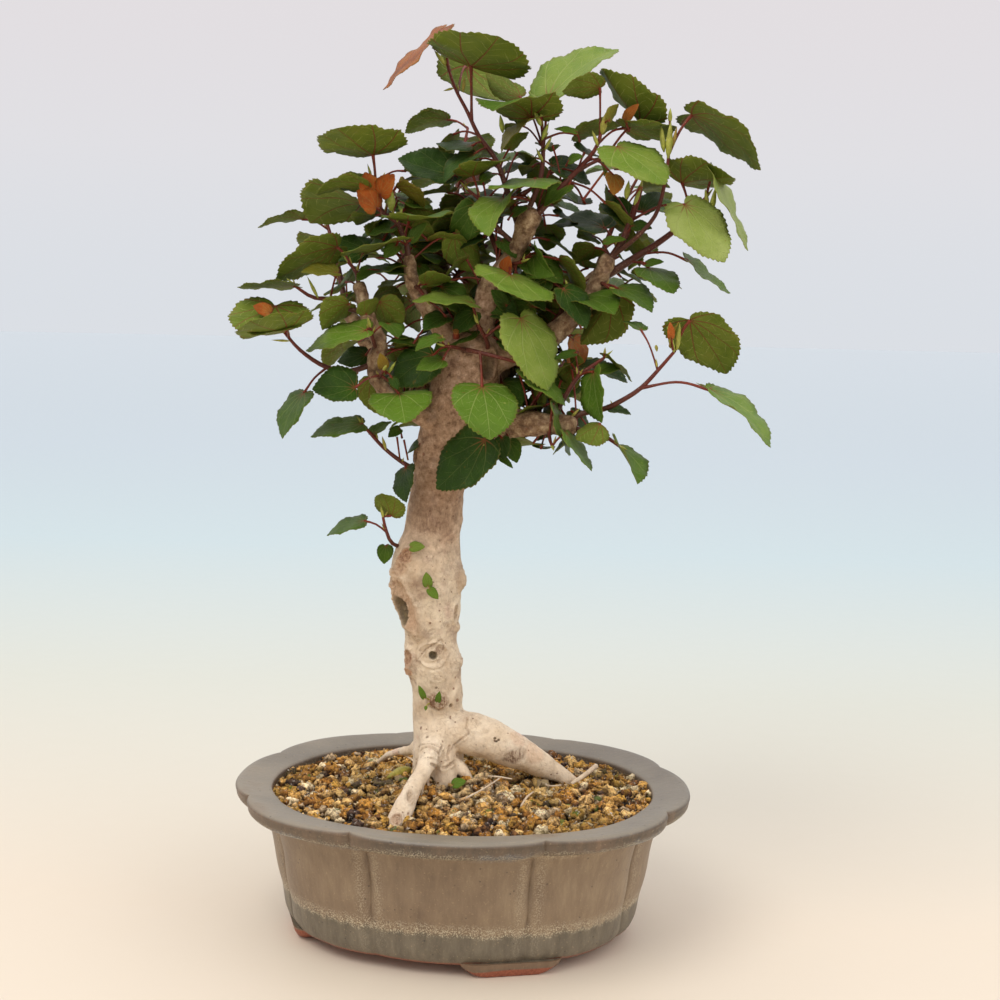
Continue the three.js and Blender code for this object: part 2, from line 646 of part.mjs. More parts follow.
        points: [[462, 352, 0], [466, 350, -16], [486, 354, -24], [516, 362, -26]],
      },
      { radii: [1.8, 1.4, 1.1], points: [[466, 350, -16], [454, 347, -24], [444, 346, -28]] },
    ],
    leaves: [
      { stalk: [479, 352], base: [482, 386, -30], tip: [490, 439, -58], wide: 38, roll: 0 },
      { stalk: [510, 360], base: [524, 369, -22], tip: [566, 402, -22], wide: 25, roll: 10 },
      { stalk: [446, 346], base: [441, 338, -30], tip: [415, 351, -36], wide: 12, roll: -20 },
      { stalk: [448, 347], base: [443, 360, -28], tip: [416, 370, -34], wide: 14, roll: -30 },
      { stalk: [452, 348], base: [434, 354, -12], tip: [395, 386, -5], wide: 26, roll: -35 },
    ],
  },
  middleUpper: {
    stems: [{ radii: [2, 1.6, 1.2], points: [[507, 262, 1], [512, 264, -10], [522, 262, -14]] }],
    leaves: [
      { stalk: [510, 263], base: [509, 275, -18], tip: [528, 301, -50], wide: 38, roll: 0 },
      { stalk: [520, 262], base: [541, 250, -2], tip: [558, 273, -10], wide: 22, roll: 0 },
      { stalk: [514, 264], base: [514, 290, -6], tip: [546, 310, -12], wide: 18, roll: 20 },
    ],
  },
  middleRight: {
    stems: [{ radii: [2, 1.6, 1.2], points: [[574, 315, 7], [572, 303, -2], [568, 290, -6]] }],
    leaves: [
      { stalk: [570, 294], base: [563, 288, -12], tip: [586, 328, -22], wide: 26, roll: 10 },
    ],
  },
  lowerRightTop: {
    stems: [{
      radii: [2.4, 2, 1.6, 1.2],
      points: [[550, 424, -13], [562, 402, -13], [579, 376, -14], [604, 358, -14]],
    }],
    leaves: [
      { stalk: [603, 359], base: [605, 354, -16], tip: [633, 381, -26], wide: 18, roll: 5 },
      { stalk: [580, 376], base: [571, 364, -8], tip: [555, 377, 0], wide: 11, roll: -20 },
      { stalk: [577, 380], base: [582, 380, -20], tip: [602, 424, -30], wide: 20, roll: -15 },
      { stalk: [590, 368], base: [599, 372, -10], tip: [624, 367, -6], wide: 10, roll: 30 },
    ],
  },
  lowerRightEnd: {
    stems: [{
      radii: [2.4, 1.9, 1.3],
      points: [[572, 428, -15], [591, 433, -20], [606, 437, -22], [619, 446, -24]],
    }],
    leaves: [
      { stalk: [618, 446], base: [620, 448, -24], tip: [639, 484, -42], wide: 22, roll: 0 },
      { stalk: [590, 428], base: [587, 422, -8], tip: [572, 411, 4], wide: 12, roll: 0 },
      { stalk: [594, 430], base: [590, 432, -30], tip: [600, 446, -46], wide: 20, roll: 0 },
      { stalk: [584, 427], base: [574, 440, -16], tip: [553, 455, -12], wide: 15, roll: -20 },
    ],
  },
  lowerRightHang: {
    stems: [{ radii: [1.8, 1.4, 1.1], points: [[548, 425, -13], [550, 440, -22], [552, 446, -26]] }],
    leaves: [
      { stalk: [551, 445], base: [556, 446, -28], tip: [577, 478, -34], wide: 9, roll: 20 },
      { stalk: [550, 438], base: [544, 447, -23], tip: [538, 470, -30], wide: 9, roll: 0 },
    ],
  },
  lowerMiddle: {
    stems: [{ radii: [2.2, 1.7, 1.3], points: [[496, 424, -6], [494, 436, -18], [488, 442, -22]] }],
    leaves: [
      { stalk: [489, 441], base: [484, 443, -24], tip: [435, 490, -30], wide: 28, roll: -35 },
      { stalk: [494, 436], base: [503, 441, -22], tip: [512, 466, -28], wide: 9, roll: 0 },
    ],
  },
  lowerLeft: {
    stems: [{
      radii: [2.2, 1.7, 1.3],
      points: [[416, 470, 3], [402, 462, -6], [384, 448, -8], [363, 425, -10]],
    }],
    leaves: [
      { stalk: [364, 426], base: [361, 424, -12], tip: [309, 436, -28], wide: 28, roll: -15 },
      { stalk: [376, 440], base: [374, 434, -8], tip: [391, 421, 2], wide: 11, roll: 0 },
      { stalk: [402, 462], base: [406, 474, -14], tip: [402, 503, -20], wide: 9, roll: 20 },
    ],
  },
  lowest: {
    stems: [{
      radii: [1.9, 1.5, 1.1],
      points: [[404, 548, 6], [391, 542, -6], [386, 530, -8], [383, 517, -9]],
    }],
    leaves: [
      { stalk: [387, 533], base: [361, 521, -10], tip: [325, 535, -18], wide: 19, roll: -10 },
      { stalk: [384, 519], base: [391, 516, -8], tip: [382, 493, -18], wide: 18, roll: 0 },
    ],
  },
};

// Leafy shoots of the back and the inside: a stem with leaves turned round it by the golden angle
const turnedShoots = {
  backTop: { from: [452, 228, 69], to: [-12, 96, 436], leaves: 5, turn: 20 },
  backCrown: { from: [441, 266, 55], to: [-58, 66, 404], leaves: 5, turn: 160 },
  backUpperRight: { from: [446, 292, 45], to: [40, 58, 410], leaves: 5, turn: 35 },
  backRight: { from: [594, 277, 73], to: [86, 80, 408], leaves: 5, turn: 10 },
  backRightLow: { from: [562, 319, 60], to: [80, 98, 348], leaves: 4, turn: 245 },
  backLeft: { from: [346, 308, 61], to: [-92, 76, 386], leaves: 5, turn: 192 },
  backLeftLow: { from: [374, 352, 54], to: [-58, 100, 348], leaves: 4, turn: 120 },
  backMiddle: { from: [514, 360, 34], to: [0, 98, 332], leaves: 4, turn: 250 },
  innerLeft: { from: [426, 304, -4], to: [-42, 28, 356], leaves: 5, turn: 130 },
  innerTop: { from: [502, 264, 1], to: [-4, 36, 388], leaves: 5, turn: 65 },
  innerRight: { from: [556, 332, 5], to: [52, 32, 350], leaves: 5, turn: 125 },
  innerLow: { from: [524, 424, -10], to: [50, 42, 306], leaves: 5, turn: 35 },
};
const goldenAngle = THREE.MathUtils.degToRad(137.5);
const turnedStem = { radii: [2.8, 2, 1.2], steps: 3 };
const bareShare = 0.25; // of the stem, below the lowest leaf
const outwardLean = 0.7; // how far the leaves turn away from the trunk
const bladeSize = { mean: 26.5, spread: 4, pace: 2.1 }; // the pace sets how it differs from leaf to leaf
const stalkSize = { mean: 12, spread: 4, pace: 1.3 };
const bladeRoll = { mean: 0, spread: 16, pace: 1.7 };
const stalkLift = 5;
const tipDroop = 0.25; // against the blade's length
const bladeWidth = 0.92;

function ruledLeaves({ from, to, leaves, turn }) {
  const start = seen(from);
  const end = new THREE.Vector3(...to);
  const outward = new THREE.Vector3(end.x, end.y, 0).normalize().multiplyScalar(outwardLean);
  return Array.from({ length: leaves }, (_, i) => {
    const varied = ({ mean, spread, pace }) => mean + spread * Math.sin(i * pace + turn);
    const seat = start.clone().lerp(end, bareShare + ((1 - bareShare) * i) / (leaves - 1));
    const angle = THREE.MathUtils.degToRad(turn) + i * goldenAngle;
    const way = new THREE.Vector3(Math.cos(angle), Math.sin(angle), 0).add(outward).normalize();
    const base = seat.clone().addScaledVector(way, varied(stalkSize)).addScaledVector(up, stalkLift);
    const length = varied(bladeSize);
    const tip = base.clone().addScaledVector(way, length).addScaledVector(up, -tipDroop * length);
    return { seat, base, tip, wide: bladeWidth * length, roll: varied(bladeRoll) };
  });
}

function makeTurnedShoot(shoot) {
  const start = seen(shoot.from);
  const end = new THREE.Vector3(...shoot.to);
  const line = [start, start.clone().lerp(end, 0.5), end];
  const stem = taperedTube(line, turnedStem.radii, stemSides, turnedStem.steps);
  const leaves = ruledLeaves(shoot).map(({ seat, base, tip, wide, roll }) => (
    makeLeaf(smallHalf, seat, base, tip, wide, roll)));
  return fuse([stem, ...leaves]);
}

function makeShoot({ stems, leaves }) {
  const lines = stems.map(({ points }) => points.map(seen));
  const solids = stems.map(({ radii }, i) => taperedTube(lines[i], radii, stemSides, lines[i].length - 1));
  const places = lines.flatMap((line) => (
    new THREE.CatmullRomCurve3(line, false, 'centripetal').getSpacedPoints(stemSamples)));
  for (const { stalk, base, tip, wide, roll } of leaves) {
    const gap = (place) => place.distanceTo(seen([...stalk, place.y]));
    const seat = places.reduce((best, place) => (gap(place) < gap(best) ? place : best));
    const half = seen(base).distanceTo(seen(tip)) > largeLeaf ? heartHalf : smallHalf;
    solids.push(makeLeaf(half, seat, seen(base), seen(tip), wide, roll));
  }
  return fuse(solids);
}

// Assembly

const glaze = { color: 0x7d6b58, roughness: 0.35, metalness: 0 };
const grit = { color: 0x86704c, roughness: 0.95, metalness: 0 };
const bark = { color: 0xb59a80, roughness: 0.85, metalness: 0 };
const foliage = { color: 0x4c7030, roughness: 0.5, metalness: 0 };

// The space that the soil and the shoots leave free; flat sides lie nearer than the corners of a ring
const trunkRoom = makeTrunk(clearance + 0.1);

function clearOfTrunk(solid) {
  return largestPiece(solid.subtract(trunkRoom));
}

const bonsai = new THREE.Group();

function addPart(name, solid, finish) {
  const mesh = new THREE.Mesh(toGeometry(solid), new THREE.MeshStandardMaterial(finish));
  mesh.name = name;
  bonsai.add(mesh);
}

addPart('pot', makePot(), glaze);
addPart('soil', clearOfTrunk(makeSoil()), grit);
addPart('trunk', makeTrunk(0), bark);
for (const [name, shoot] of Object.entries(shoots)) {
  addPart(`shoot_${name}`, clearOfTrunk(makeShoot(shoot)), foliage);
}
for (const [name, shoot] of Object.entries(turnedShoots)) {
  addPart(`shoot_${name}`, clearOfTrunk(makeTurnedShoot(shoot)), foliage);
}

// The origin is the middle of the whole plant's plan, at the feet
const middle = new THREE.Box3().setFromObject(bonsai).getCenter(new THREE.Vector3());
bonsai.position.set(-middle.x, -middle.y, 0);

export default bonsai;
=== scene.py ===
import math
import random

import bmesh
import bpy
import numpy as np
from mathutils import Matrix, Vector, noise


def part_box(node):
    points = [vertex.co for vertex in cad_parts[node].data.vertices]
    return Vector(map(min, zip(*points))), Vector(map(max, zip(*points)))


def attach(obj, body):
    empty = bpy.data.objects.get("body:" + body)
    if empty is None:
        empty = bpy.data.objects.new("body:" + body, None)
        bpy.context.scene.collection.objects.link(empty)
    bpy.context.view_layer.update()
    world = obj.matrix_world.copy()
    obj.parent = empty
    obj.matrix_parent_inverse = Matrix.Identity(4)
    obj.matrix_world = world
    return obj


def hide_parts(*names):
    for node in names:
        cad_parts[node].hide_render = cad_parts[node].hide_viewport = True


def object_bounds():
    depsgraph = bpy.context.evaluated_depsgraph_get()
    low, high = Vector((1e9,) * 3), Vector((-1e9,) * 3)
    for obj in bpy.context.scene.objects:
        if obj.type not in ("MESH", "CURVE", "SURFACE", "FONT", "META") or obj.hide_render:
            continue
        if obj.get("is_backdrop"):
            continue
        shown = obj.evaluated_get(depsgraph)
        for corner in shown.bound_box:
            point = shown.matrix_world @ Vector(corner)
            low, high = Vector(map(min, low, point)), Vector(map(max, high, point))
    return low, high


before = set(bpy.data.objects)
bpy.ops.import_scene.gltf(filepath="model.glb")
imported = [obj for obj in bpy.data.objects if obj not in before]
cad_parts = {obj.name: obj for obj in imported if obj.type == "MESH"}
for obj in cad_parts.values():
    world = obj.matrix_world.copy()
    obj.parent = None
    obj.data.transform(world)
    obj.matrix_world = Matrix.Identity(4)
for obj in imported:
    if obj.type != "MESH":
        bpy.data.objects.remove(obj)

# A sea hibiscus bonsai in a lobed oval pot. Metres, X along the pot, Y away from the front, Z up.

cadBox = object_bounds()
potLow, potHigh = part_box("pot")
potMiddle = Vector(((potLow.x + potHigh.x) / 2, (potLow.y + potHigh.y) / 2, 0))  # off the origin
up = Vector((0, 0, 1))

# Front view: places on the plant are read off it as a column, a row and a depth behind the pot's middle

frontView = {
    "pictureSize": 1000,
    "focalLength": 1450,  # pixels
    "eye": (0.061, -0.756, 0.321),
    "heading": 3.34,  # degrees
    "pitch": 6.69,
    "roll": 1.25,
}
frontEye = Vector(frontView["eye"])
frontTurn = (
    Matrix.Rotation(math.radians(frontView["heading"]), 3, "Z")
    @ Matrix.Rotation(math.radians(90 - frontView["pitch"]), 3, "X")
    @ Matrix.Rotation(math.radians(frontView["roll"]), 3, "Z")
)
viewMiddle = frontView["pictureSize"] / 2


def seen(column, row, back):
    ray = frontTurn @ Vector((column - viewMiddle, viewMiddle - row, -frontView["focalLength"]))
    return frontEye + ray * ((back - frontEye.y) / ray.y) + potMiddle


def seenLine(points):
    return [seen(*point) for point in points]


def pictured(places):
    # rows of x, y, z to rows of column, row
    turned = (places - np.array(frontEye + potMiddle)) @ np.array(frontTurn)
    scale = frontView["focalLength"] / -turned[:, 2]
    return np.stack([viewMiddle + turned[:, 0] * scale, viewMiddle - turned[:, 1] * scale], 1)


# Node trees

def setSocket(socket, value):
    if isinstance(value, bpy.types.NodeSocket):
        socket.id_data.links.new(value, socket)
    else:
        socket.default_value = value


def addNode(tree, kind, inputs=None, **settings):
    # a node's outputs
    made = tree.nodes.new(kind)
    for name, value in settings.items():
        setattr(made, name, value)
    for key, value in (inputs or {}).items():
        named = isinstance(key, int) or key in made.inputs
        socket = made.inputs[key] if named else next(one for one in made.inputs if one.identifier == key)
        setSocket(socket, value)
    return made.outputs


def treeOf(*values):
    # the tree of the first socket among some values
    return next(value for value in values if isinstance(value, bpy.types.NodeSocket)).id_data


def maths(operation, *values, clamp=False):
    inputs = dict(enumerate(values))
    return addNode(treeOf(*values), "ShaderNodeMath", inputs, operation=operation, use_clamp=clamp)[0]


def plus(first, second):
    return maths("ADD", first, second)


def minus(first, second):
    return maths("SUBTRACT", first, second)


def times(first, second):
    return maths("MULTIPLY", first, second)


def scaled(value, scale, offset):
    return maths("MULTIPLY_ADD", value, scale, offset)


def vectorMaths(operation, *values):
    made = addNode(treeOf(*values), "ShaderNodeVectorMath", dict(enumerate(values)), operation=operation)
    return made["Value" if operation == "DISTANCE" else "Vector"]


def axes(vector):
    return addNode(vector.id_data, "ShaderNodeSeparateXYZ", {0: vector})


def fade(value, start, end):
    # 0 at start, 1 at end, softened
    inputs = {"Value": value, "From Min": start, "From Max": end}
    return addNode(value.id_data, "ShaderNodeMapRange", inputs, interpolation_type="SMOOTHSTEP")["Result"]


def paint(red, green, blue):
    # a colour as it shows, 0 to 255, to the linear one that shaders take
    return tuple((part / 255) ** 2.2 for part in (red, green, blue)) + (1,)


def mix(share, first, second, blend="MIX"):
    made = addNode(treeOf(share, first, second), "ShaderNodeMix", data_type="RGBA", blend_type=blend)
    for key, value in ((0, share), (6, first), (7, second)):
        setSocket(made[0].node.inputs[key], value)
    return made[2]


def laid(color, mask, share, over):
    # a colour, as it shows, laid over another by a share of a mask
    return mix(times(mask, share), color, paint(*over))


def ramp(value, *stops, shown=True, constant=False):
    # stops of (place, red, green, blue), in colours as they show or in plain factors
    made = addNode(value.id_data, "ShaderNodeValToRGB", {"Fac": value})["Color"]
    colors = made.node.color_ramp
    colors.interpolation = "CONSTANT" if constant else "LINEAR"
    while len(colors.elements) < len(stops):
        colors.elements.new(1)
    for element, (place, *color) in zip(colors.elements, stops):
        element.position = place
        element.color = paint(*color) if shown else (*color, 1)
    return made


def noiseOf(vector, scale, detail=3.0, roughness=0.55, output="Fac"):
    inputs = {"Vector": vector, "Scale": scale, "Detail": detail, "Roughness": roughness}
    return addNode(vector.id_data, "ShaderNodeTexNoise", inputs)[output]


def cellsOf(vector, scale, feature="F1"):
    inputs = {"Vector": vector, "Scale": scale}
    return addNode(vector.id_data, "ShaderNodeTexVoronoi", inputs, feature=feature)


def bump(height, strength, distance):
    inputs = {"Height": height, "Strength": strength, "Distance": distance}
    return addNode(height.id_data, "ShaderNodeBump", inputs)["Normal"]


def attributeOf(tree, name, output="Fac"):
    return addNode(tree, "ShaderNodeAttribute", attribute_name=name)[output]


def newGroup(name, kind, inputs, outputs):
    # sockets are a label and the end of their type's name
    tree = bpy.data.node_groups.new(name, kind)
    for direction, sockets in (("INPUT", inputs), ("OUTPUT", outputs)):
        for label, kindEnd in sockets.items():
            tree.interface.new_socket(label, in_out=direction, socket_type="NodeSocket" + kindEnd)
    return tree, tree.nodes.new("NodeGroupInput").outputs, tree.nodes.new("NodeGroupOutput").inputs


def newFinish(name, roughness, coat=0.0, gloss=0.5):
    # a material's tree, its object coordinates and a function that feeds its shader and returns it
    material = bpy.data.materials.new(name)
    material.use_nodes = True
    inputs = material.node_tree.nodes["Principled BSDF"].inputs
    plain = {"Roughness": roughness, "Coat Weight": coat, "Coat Roughness": 0.25, "Specular IOR Level": gloss}

    def feed(values):
        for key, value in values.items():
            setSocket(inputs[key], value)
        return material

    feed(plain)
    return material.node_tree, addNode(material.node_tree, "ShaderNodeTexCoord")["Object"], feed


def randomOf(tree, kind, low, high, seed):
    end, output = {"FLOAT_VECTOR": ("", 0), "FLOAT": ("_001", 1), "INT": ("_002", 2)}[kind]
    inputs = {"Min" + end: low, "Max" + end: high, "Seed": seed}
    return addNode(tree, "FunctionNodeRandomValue", inputs, data_type=kind)[output]


def joined(parts):
    join = parts[0].id_data.nodes.new("GeometryNodeJoinGeometry")
    for part in parts:
        setSocket(join.inputs[0], part)
    return join.outputs[0]


def stored(tree, name, kind="FLOAT"):
    return addNode(tree, "GeometryNodeInputNamedAttribute", {"Name": name}, data_type=kind)[0]


def stepOf(kind, geometry, inputs=None, **settings):
    # one step of a Geometry Nodes tree, from a geometry to the next
    inputs = {"Geometry": geometry, **(inputs or {})}
    return addNode(geometry.id_data, "GeometryNode" + kind, inputs, **settings)[0]


# Meshes

def newObject(name, vertices, faces, edges=(), smooth=True):
    mesh = bpy.data.meshes.new(name)
    mesh.from_pydata([tuple(vertex) for vertex in vertices], edges, faces)
    if smooth and faces:
        mesh.shade_smooth()
    made = bpy.data.objects.new(name, mesh)
    bpy.context.collection.objects.link(made)
    return made


def setValues(mesh, name, values, kind="FLOAT"):
    attribute = mesh.attributes.new(name, kind, "POINT")
    key = "vector" if kind == "FLOAT_VECTOR" else "value"
    attribute.data.foreach_set(key, np.asarray(values, np.float32).ravel())


def vectorsOf(items, key):
    values = np.empty(len(items) * 3, np.float32)
    items.foreach_get(key, values)
    return values.reshape(-1, 3).astype(float)


def surfaceOf(mesh):
    # places, normals and places in the front view
    places = vectorsOf(mesh.vertices, "co")
    return places, vectorsOf(mesh.vertex_normals, "vector"), pictured(places)


def bakeShape(made):
    # the object's modifiers become its mesh
    mesh = bpy.data.meshes.new_from_object(made.evaluated_get(bpy.context.evaluated_depsgraph_get()))
    made.modifiers.clear()
    made.data = mesh
    return made


def growWith(made, tree, values):
    # a Geometry Nodes tree with its named inputs set, turned into a plain mesh
    modifier = made.modifiers.new(tree.name, "NODES")
    modifier.node_group = tree
    sockets = {item.name: item.identifier for item in tree.interface.items_tree if item.in_out == "INPUT"}
    for name, value in values.items():
        modifier[sockets[name]] = value
    return bakeShape(made)


def seat(made, slot, *nodes):
    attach(made, "root")
    if nodes:
        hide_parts(*nodes)
    print("made", made.name, len(made.data.polygons), "faces")


def ringedSolid(name, rings, smooth=True):
    # rings of places from the bottom to the top, closed by their end faces
    count = len(rings[0])
    last = (len(rings) - 1) * count
    faces = [tuple(reversed(range(count))), tuple(range(last, last + count))]
    for low in range(0, last, count):
        for k in range(count):
            m = (k + 1) % count
            faces.append((low + k, low + m, low + count + m, low + count + k))
    return newObject(name, [place for ring in rings for place in ring], faces, smooth=smooth)


def smoothLine(points, step):
    # a centripetal curve through the points, with a place every step
    line = [points[0] * 2 - points[1], *points, points[-1] * 2 - points[-2]]
    dense = []
    finePlaces = 12
    for p0, p1, p2, p3 in zip(line, line[1:], line[2:], line[3:]):
        t1 = (p1 - p0).length ** 0.5
        t2 = t1 + (p2 - p1).length ** 0.5
        t3 = t2 + (p3 - p2).length ** 0.5
        for part in range(finePlaces):
            t = t1 + (t2 - t1) * part / finePlaces
            a1 = p0.lerp(p1, t / t1)
            a2 = p1.lerp(p2, (t - t1) / (t2 - t1))
            a3 = p2.lerp(p3, (t - t2) / (t3 - t2))
            b1 = a1.lerp(a2, t / t2)
            b2 = a2.lerp(a3, (t - t1) / (t3 - t1))
            dense.append(b1.lerp(b2, (t - t1) / (t2 - t1)))
    dense.append(points[-1].copy())
    reached = reachOf(dense)
    count = max(2, round(reached[-1] / step))
    wanted = np.linspace(0, reached[-1], count + 1)
    spread = np.stack([np.interp(wanted, reached, [place[k] for place in dense]) for k in range(3)], 1)
    return [Vector(place) for place in spread], wanted / reached[-1]


def reachOf(points):
    # each point's way along a line
    return np.concatenate([[0], np.cumsum([(b - a).length for a, b in zip(points, points[1:])])])


def girthAt(shares, points, radii):
    # radii at shares of a line, from radii at its points or spread evenly over it
    reached = reachOf(points) if len(radii) == len(points) else np.linspace(0, 1, len(radii))
    return np.interp(shares, reached / reached[-1], radii)


def softStep(values, start, end):
    share = np.clip((values - start) / (end - start), 0, 1)
    return share * share * (3 - 2 * share)


# Pot

pot = {
    "length": potHigh.x - potLow.x,
    "depth": potHigh.y - potLow.y,
    "height": potHigh.z,
    "ovalPower": 2.16,
    "lobes": 8,
    "stepsPerLobe": 30,
    "notchCrowding": 0.11,  # the steps crowd at the notches
    "firstNotch": 22.5,  # degrees
    "notchDepth": 0.0064,
    "lobeFullness": 0.58,  # under 1 a lobe is flatter, with a sharper notch beside it
    "ovalCore": 0.09,
    "rimSpread": 0.002,
    "rimWidth": 0.0205,
    "rimHeight": 0.010,
    "bodyInset": 0.0160,
    "footInset": 0.0262,
    "wall": 0.0045,
    "footHeight": 0.0064,
    "footLengths": (0.042, 0.054, 0.042, 0.054),
    "footWidth": 0.017,
    "footOutsets": (-0.0026, -0.0018, -0.0036, -0.0018),
    "footTurns": (-7, -3, -7, -3),  # degrees round the oval from its notch
    "floor": 0.008,
    "drainRadius": 0.008,
    "drainSpacing": 0.080,
    "throwing": 0.0005,  # unevenness of the clay
}
rimRadius = pot["length"] / 2 + pot["rimSpread"]
bodyRadius = rimRadius - pot["bodyInset"]
lowRadius = rimRadius - pot["footInset"]
wellFloor = pot["footHeight"] + pot["floor"]
rimFoot = pot["height"] - pot["rimHeight"]
bodyNotch = 0.92  # shares of the notch depth
lowNotch = 0.35
wellNotch = 0.6
innerNotch = 0.15
firstNotch = math.radians(pot["firstNotch"])


def lobedPoint(angle, radius, notchShare):
    sideways = (pot["length"] - pot["depth"]) / 2 * min(1, radius / pot["ovalCore"])
    cosine = math.cos(angle)
    sine = math.sin(angle)
    x = radius * math.copysign(abs(cosine) ** (2 / pot["ovalPower"]), cosine)
    y = (radius - sideways) * math.copysign(abs(sine) ** (2 / pot["ovalPower"]), sine)
    turn = (angle - firstNotch) / math.tau * pot["lobes"]
    bulge = math.sin(math.pi * (turn % 1)) ** pot["lobeFullness"]
    shrink = 1 - notchShare * pot["notchDepth"] * (1 - bulge) / radius
    return x * shrink, y * shrink


def roundedProfile(corners, step):
    # corners of (radius, height, notch share, rounding) to a fine profile with rounded corners
    fine = []
    neighbours = zip([None, *corners], corners, [*corners[1:], None])
    for before, (radius, height, notch, rounding), after in neighbours:
        here = np.array([radius, height, notch])
        if not rounding or before is None or after is None:
            fine.append(here)
            continue
        toBefore = np.array(before[:3]) - here
        toAfter = np.array(after[:3]) - here
        start = here + toBefore * min(0.5, rounding / np.linalg.norm(toBefore[:2]))
        end = here + toAfter * min(0.5, rounding / np.linalg.norm(toAfter[:2]))
        for share in np.linspace(0, 1, 5):
            fine.append(start * (1 - share) ** 2 + here * 2 * share * (1 - share) + end * share ** 2)
    dense = [fine[0]]
    for place in fine[1:]:
        pieces = max(1, math.ceil(np.linalg.norm(place[:2] - dense[-1][:2]) / step))
        dense += list(np.linspace(dense[-1], place, pieces + 1)[1:])
    return dense


def lobedMesh(name, profile):
    # a profile turned round the axis along the lobed oval, closed at both ends on the axis
    segments = pot["lobes"] * pot["stepsPerLobe"]
    vertices = [(0, 0, profile[0][1])]
    for radius, height, notch in profile[1:-1]:
        for segment in range(segments):
            lobe, share = divmod(segment / pot["stepsPerLobe"], 1)
            share -= pot["notchCrowding"] * math.sin(math.tau * share)
            angle = firstNotch + math.tau * (lobe + share) / pot["lobes"]
            x, y = lobedPoint(angle, radius, notch)
            vertices.append((x, y, height))
    vertices.append((0, 0, profile[-1][1]))
    rings = len(profile) - 2
    last = len(vertices) - 1
    faces = []
    for segment in range(segments):
        after = (segment + 1) % segments
        faces.append((0, 1 + after, 1 + segment))
        for ring in range(rings - 1):
            low = 1 + ring * segments
            high = low + segments
            faces.append((low + segment, low + after, high + after, high + segment))
        top = 1 + (rings - 1) * segments
        faces.append((top + segment, top + after, last))
    return newObject(name, [Vector(vertex) + potMiddle for vertex in vertices], faces)


def makePotShell():
    foot = pot["footHeight"]
    top = pot["height"]
    corners = [  # radius, height, notch share, rounding
        (0, foot, 0, 0),
        (lowRadius - 0.0042, foot, lowNotch, 0.002),
        (lowRadius - 0.0008, foot + 0.0050, lowNotch, 0.004),
        (lowRadius + 0.001, foot + 0.017, 0.55, 0.004),
        (lowRadius + 0.004, foot + 0.028, 0.75, 0.006),
        (bodyRadius - 0.004, rimFoot - 0.020, bodyNotch, 0.006),
        (bodyRadius - 0.0005, rimFoot - 0.006, bodyNotch, 0.004),
        (bodyRadius + 0.003, rimFoot - 0.0005, 0.9, 0.002),
        (rimRadius - 0.004, rimFoot, 0.95, 0.003),
        (rimRadius - 0.0008, rimFoot + 0.0035, 0.95, 0.002),
        (rimRadius - 0.0006, top - 0.0035, 0.95, 0.0012),
        (rimRadius, top - 0.0024, 0.95, 0.0008),
        (rimRadius - 0.0012, top - 0.0006, 0.85, 0.0012),
        (rimRadius - 0.0040, top - 0.0002, 0.5, 0.002),
        (rimRadius - pot["rimWidth"], top - 0.0030, innerNotch, 0.002),
        (bodyRadius - pot["wall"], top - 0.018, wellNotch, 0.004),
        (lowRadius - 0.007, wellFloor, wellNotch, 0.004),
        (0, wellFloor, 0, 0),
    ]
    return lobedMesh("lobedPot", roundedProfile(corners, 0.003))


def makeFoot(notch):
    # a bar with rounded ends beside a notch, narrower and shorter below
    turned = math.radians(pot["footTurns"][notch // 2])
    angle = firstNotch + notch / pot["lobes"] * math.tau + math.pi + turned
    reach = lowRadius - pot["footWidth"] / 2 + pot["footOutsets"][notch // 2]
    middle = Vector((*lobedPoint(angle, reach, lowNotch), 0))
    ahead = Vector(lobedPoint(angle + 0.05, lowRadius, 0))
    behind = Vector(lobedPoint(angle - 0.05, lowRadius, 0))
    spin = Matrix.Rotation(math.atan2(*(ahead - behind).yx), 3, "Z")
    arcSteps = 10
    rings = []
    for inset, drawIn, height in (
            (0.0036, 0.0064, 0), (0.0028, 0.0050, 0.0008), (0.0020, 0.0032, 0.0024), (0.0008, 0.0010, 0.0050),
            (0, 0, 0.0080)):
        radius = pot["footWidth"] / 2 - inset
        straight = pot["footLengths"][notch // 2] / 2 - pot["footWidth"] / 2 - drawIn
        ring = []
        for side, first in ((1, -90), (-1, 90)):
            for step in range(arcSteps + 1):
                turn = math.radians(first + 180 * step / arcSteps)
                place = Vector((side * straight + radius * math.cos(turn), radius * math.sin(turn), height))
                ring.append(spin @ place + middle + potMiddle)
        rings.append(ring)
    return ringedSolid("foot", rings)


def makeDrain(side):
    # the cutter of one drain hole
    count = 32
    ring = [Vector((math.cos(math.tau * k / count), math.sin(math.tau * k / count), 0)) for k in range(count)]
    middle = potMiddle + Vector((side * pot["drainSpacing"] / 2, 0, 0))
    ring = [middle + place * pot["drainRadius"] for place in ring]
    rings = [[place + up * height for place in ring] for height in (0.002, 0.03)]
    return ringedSolid("drain", rings, smooth=False)


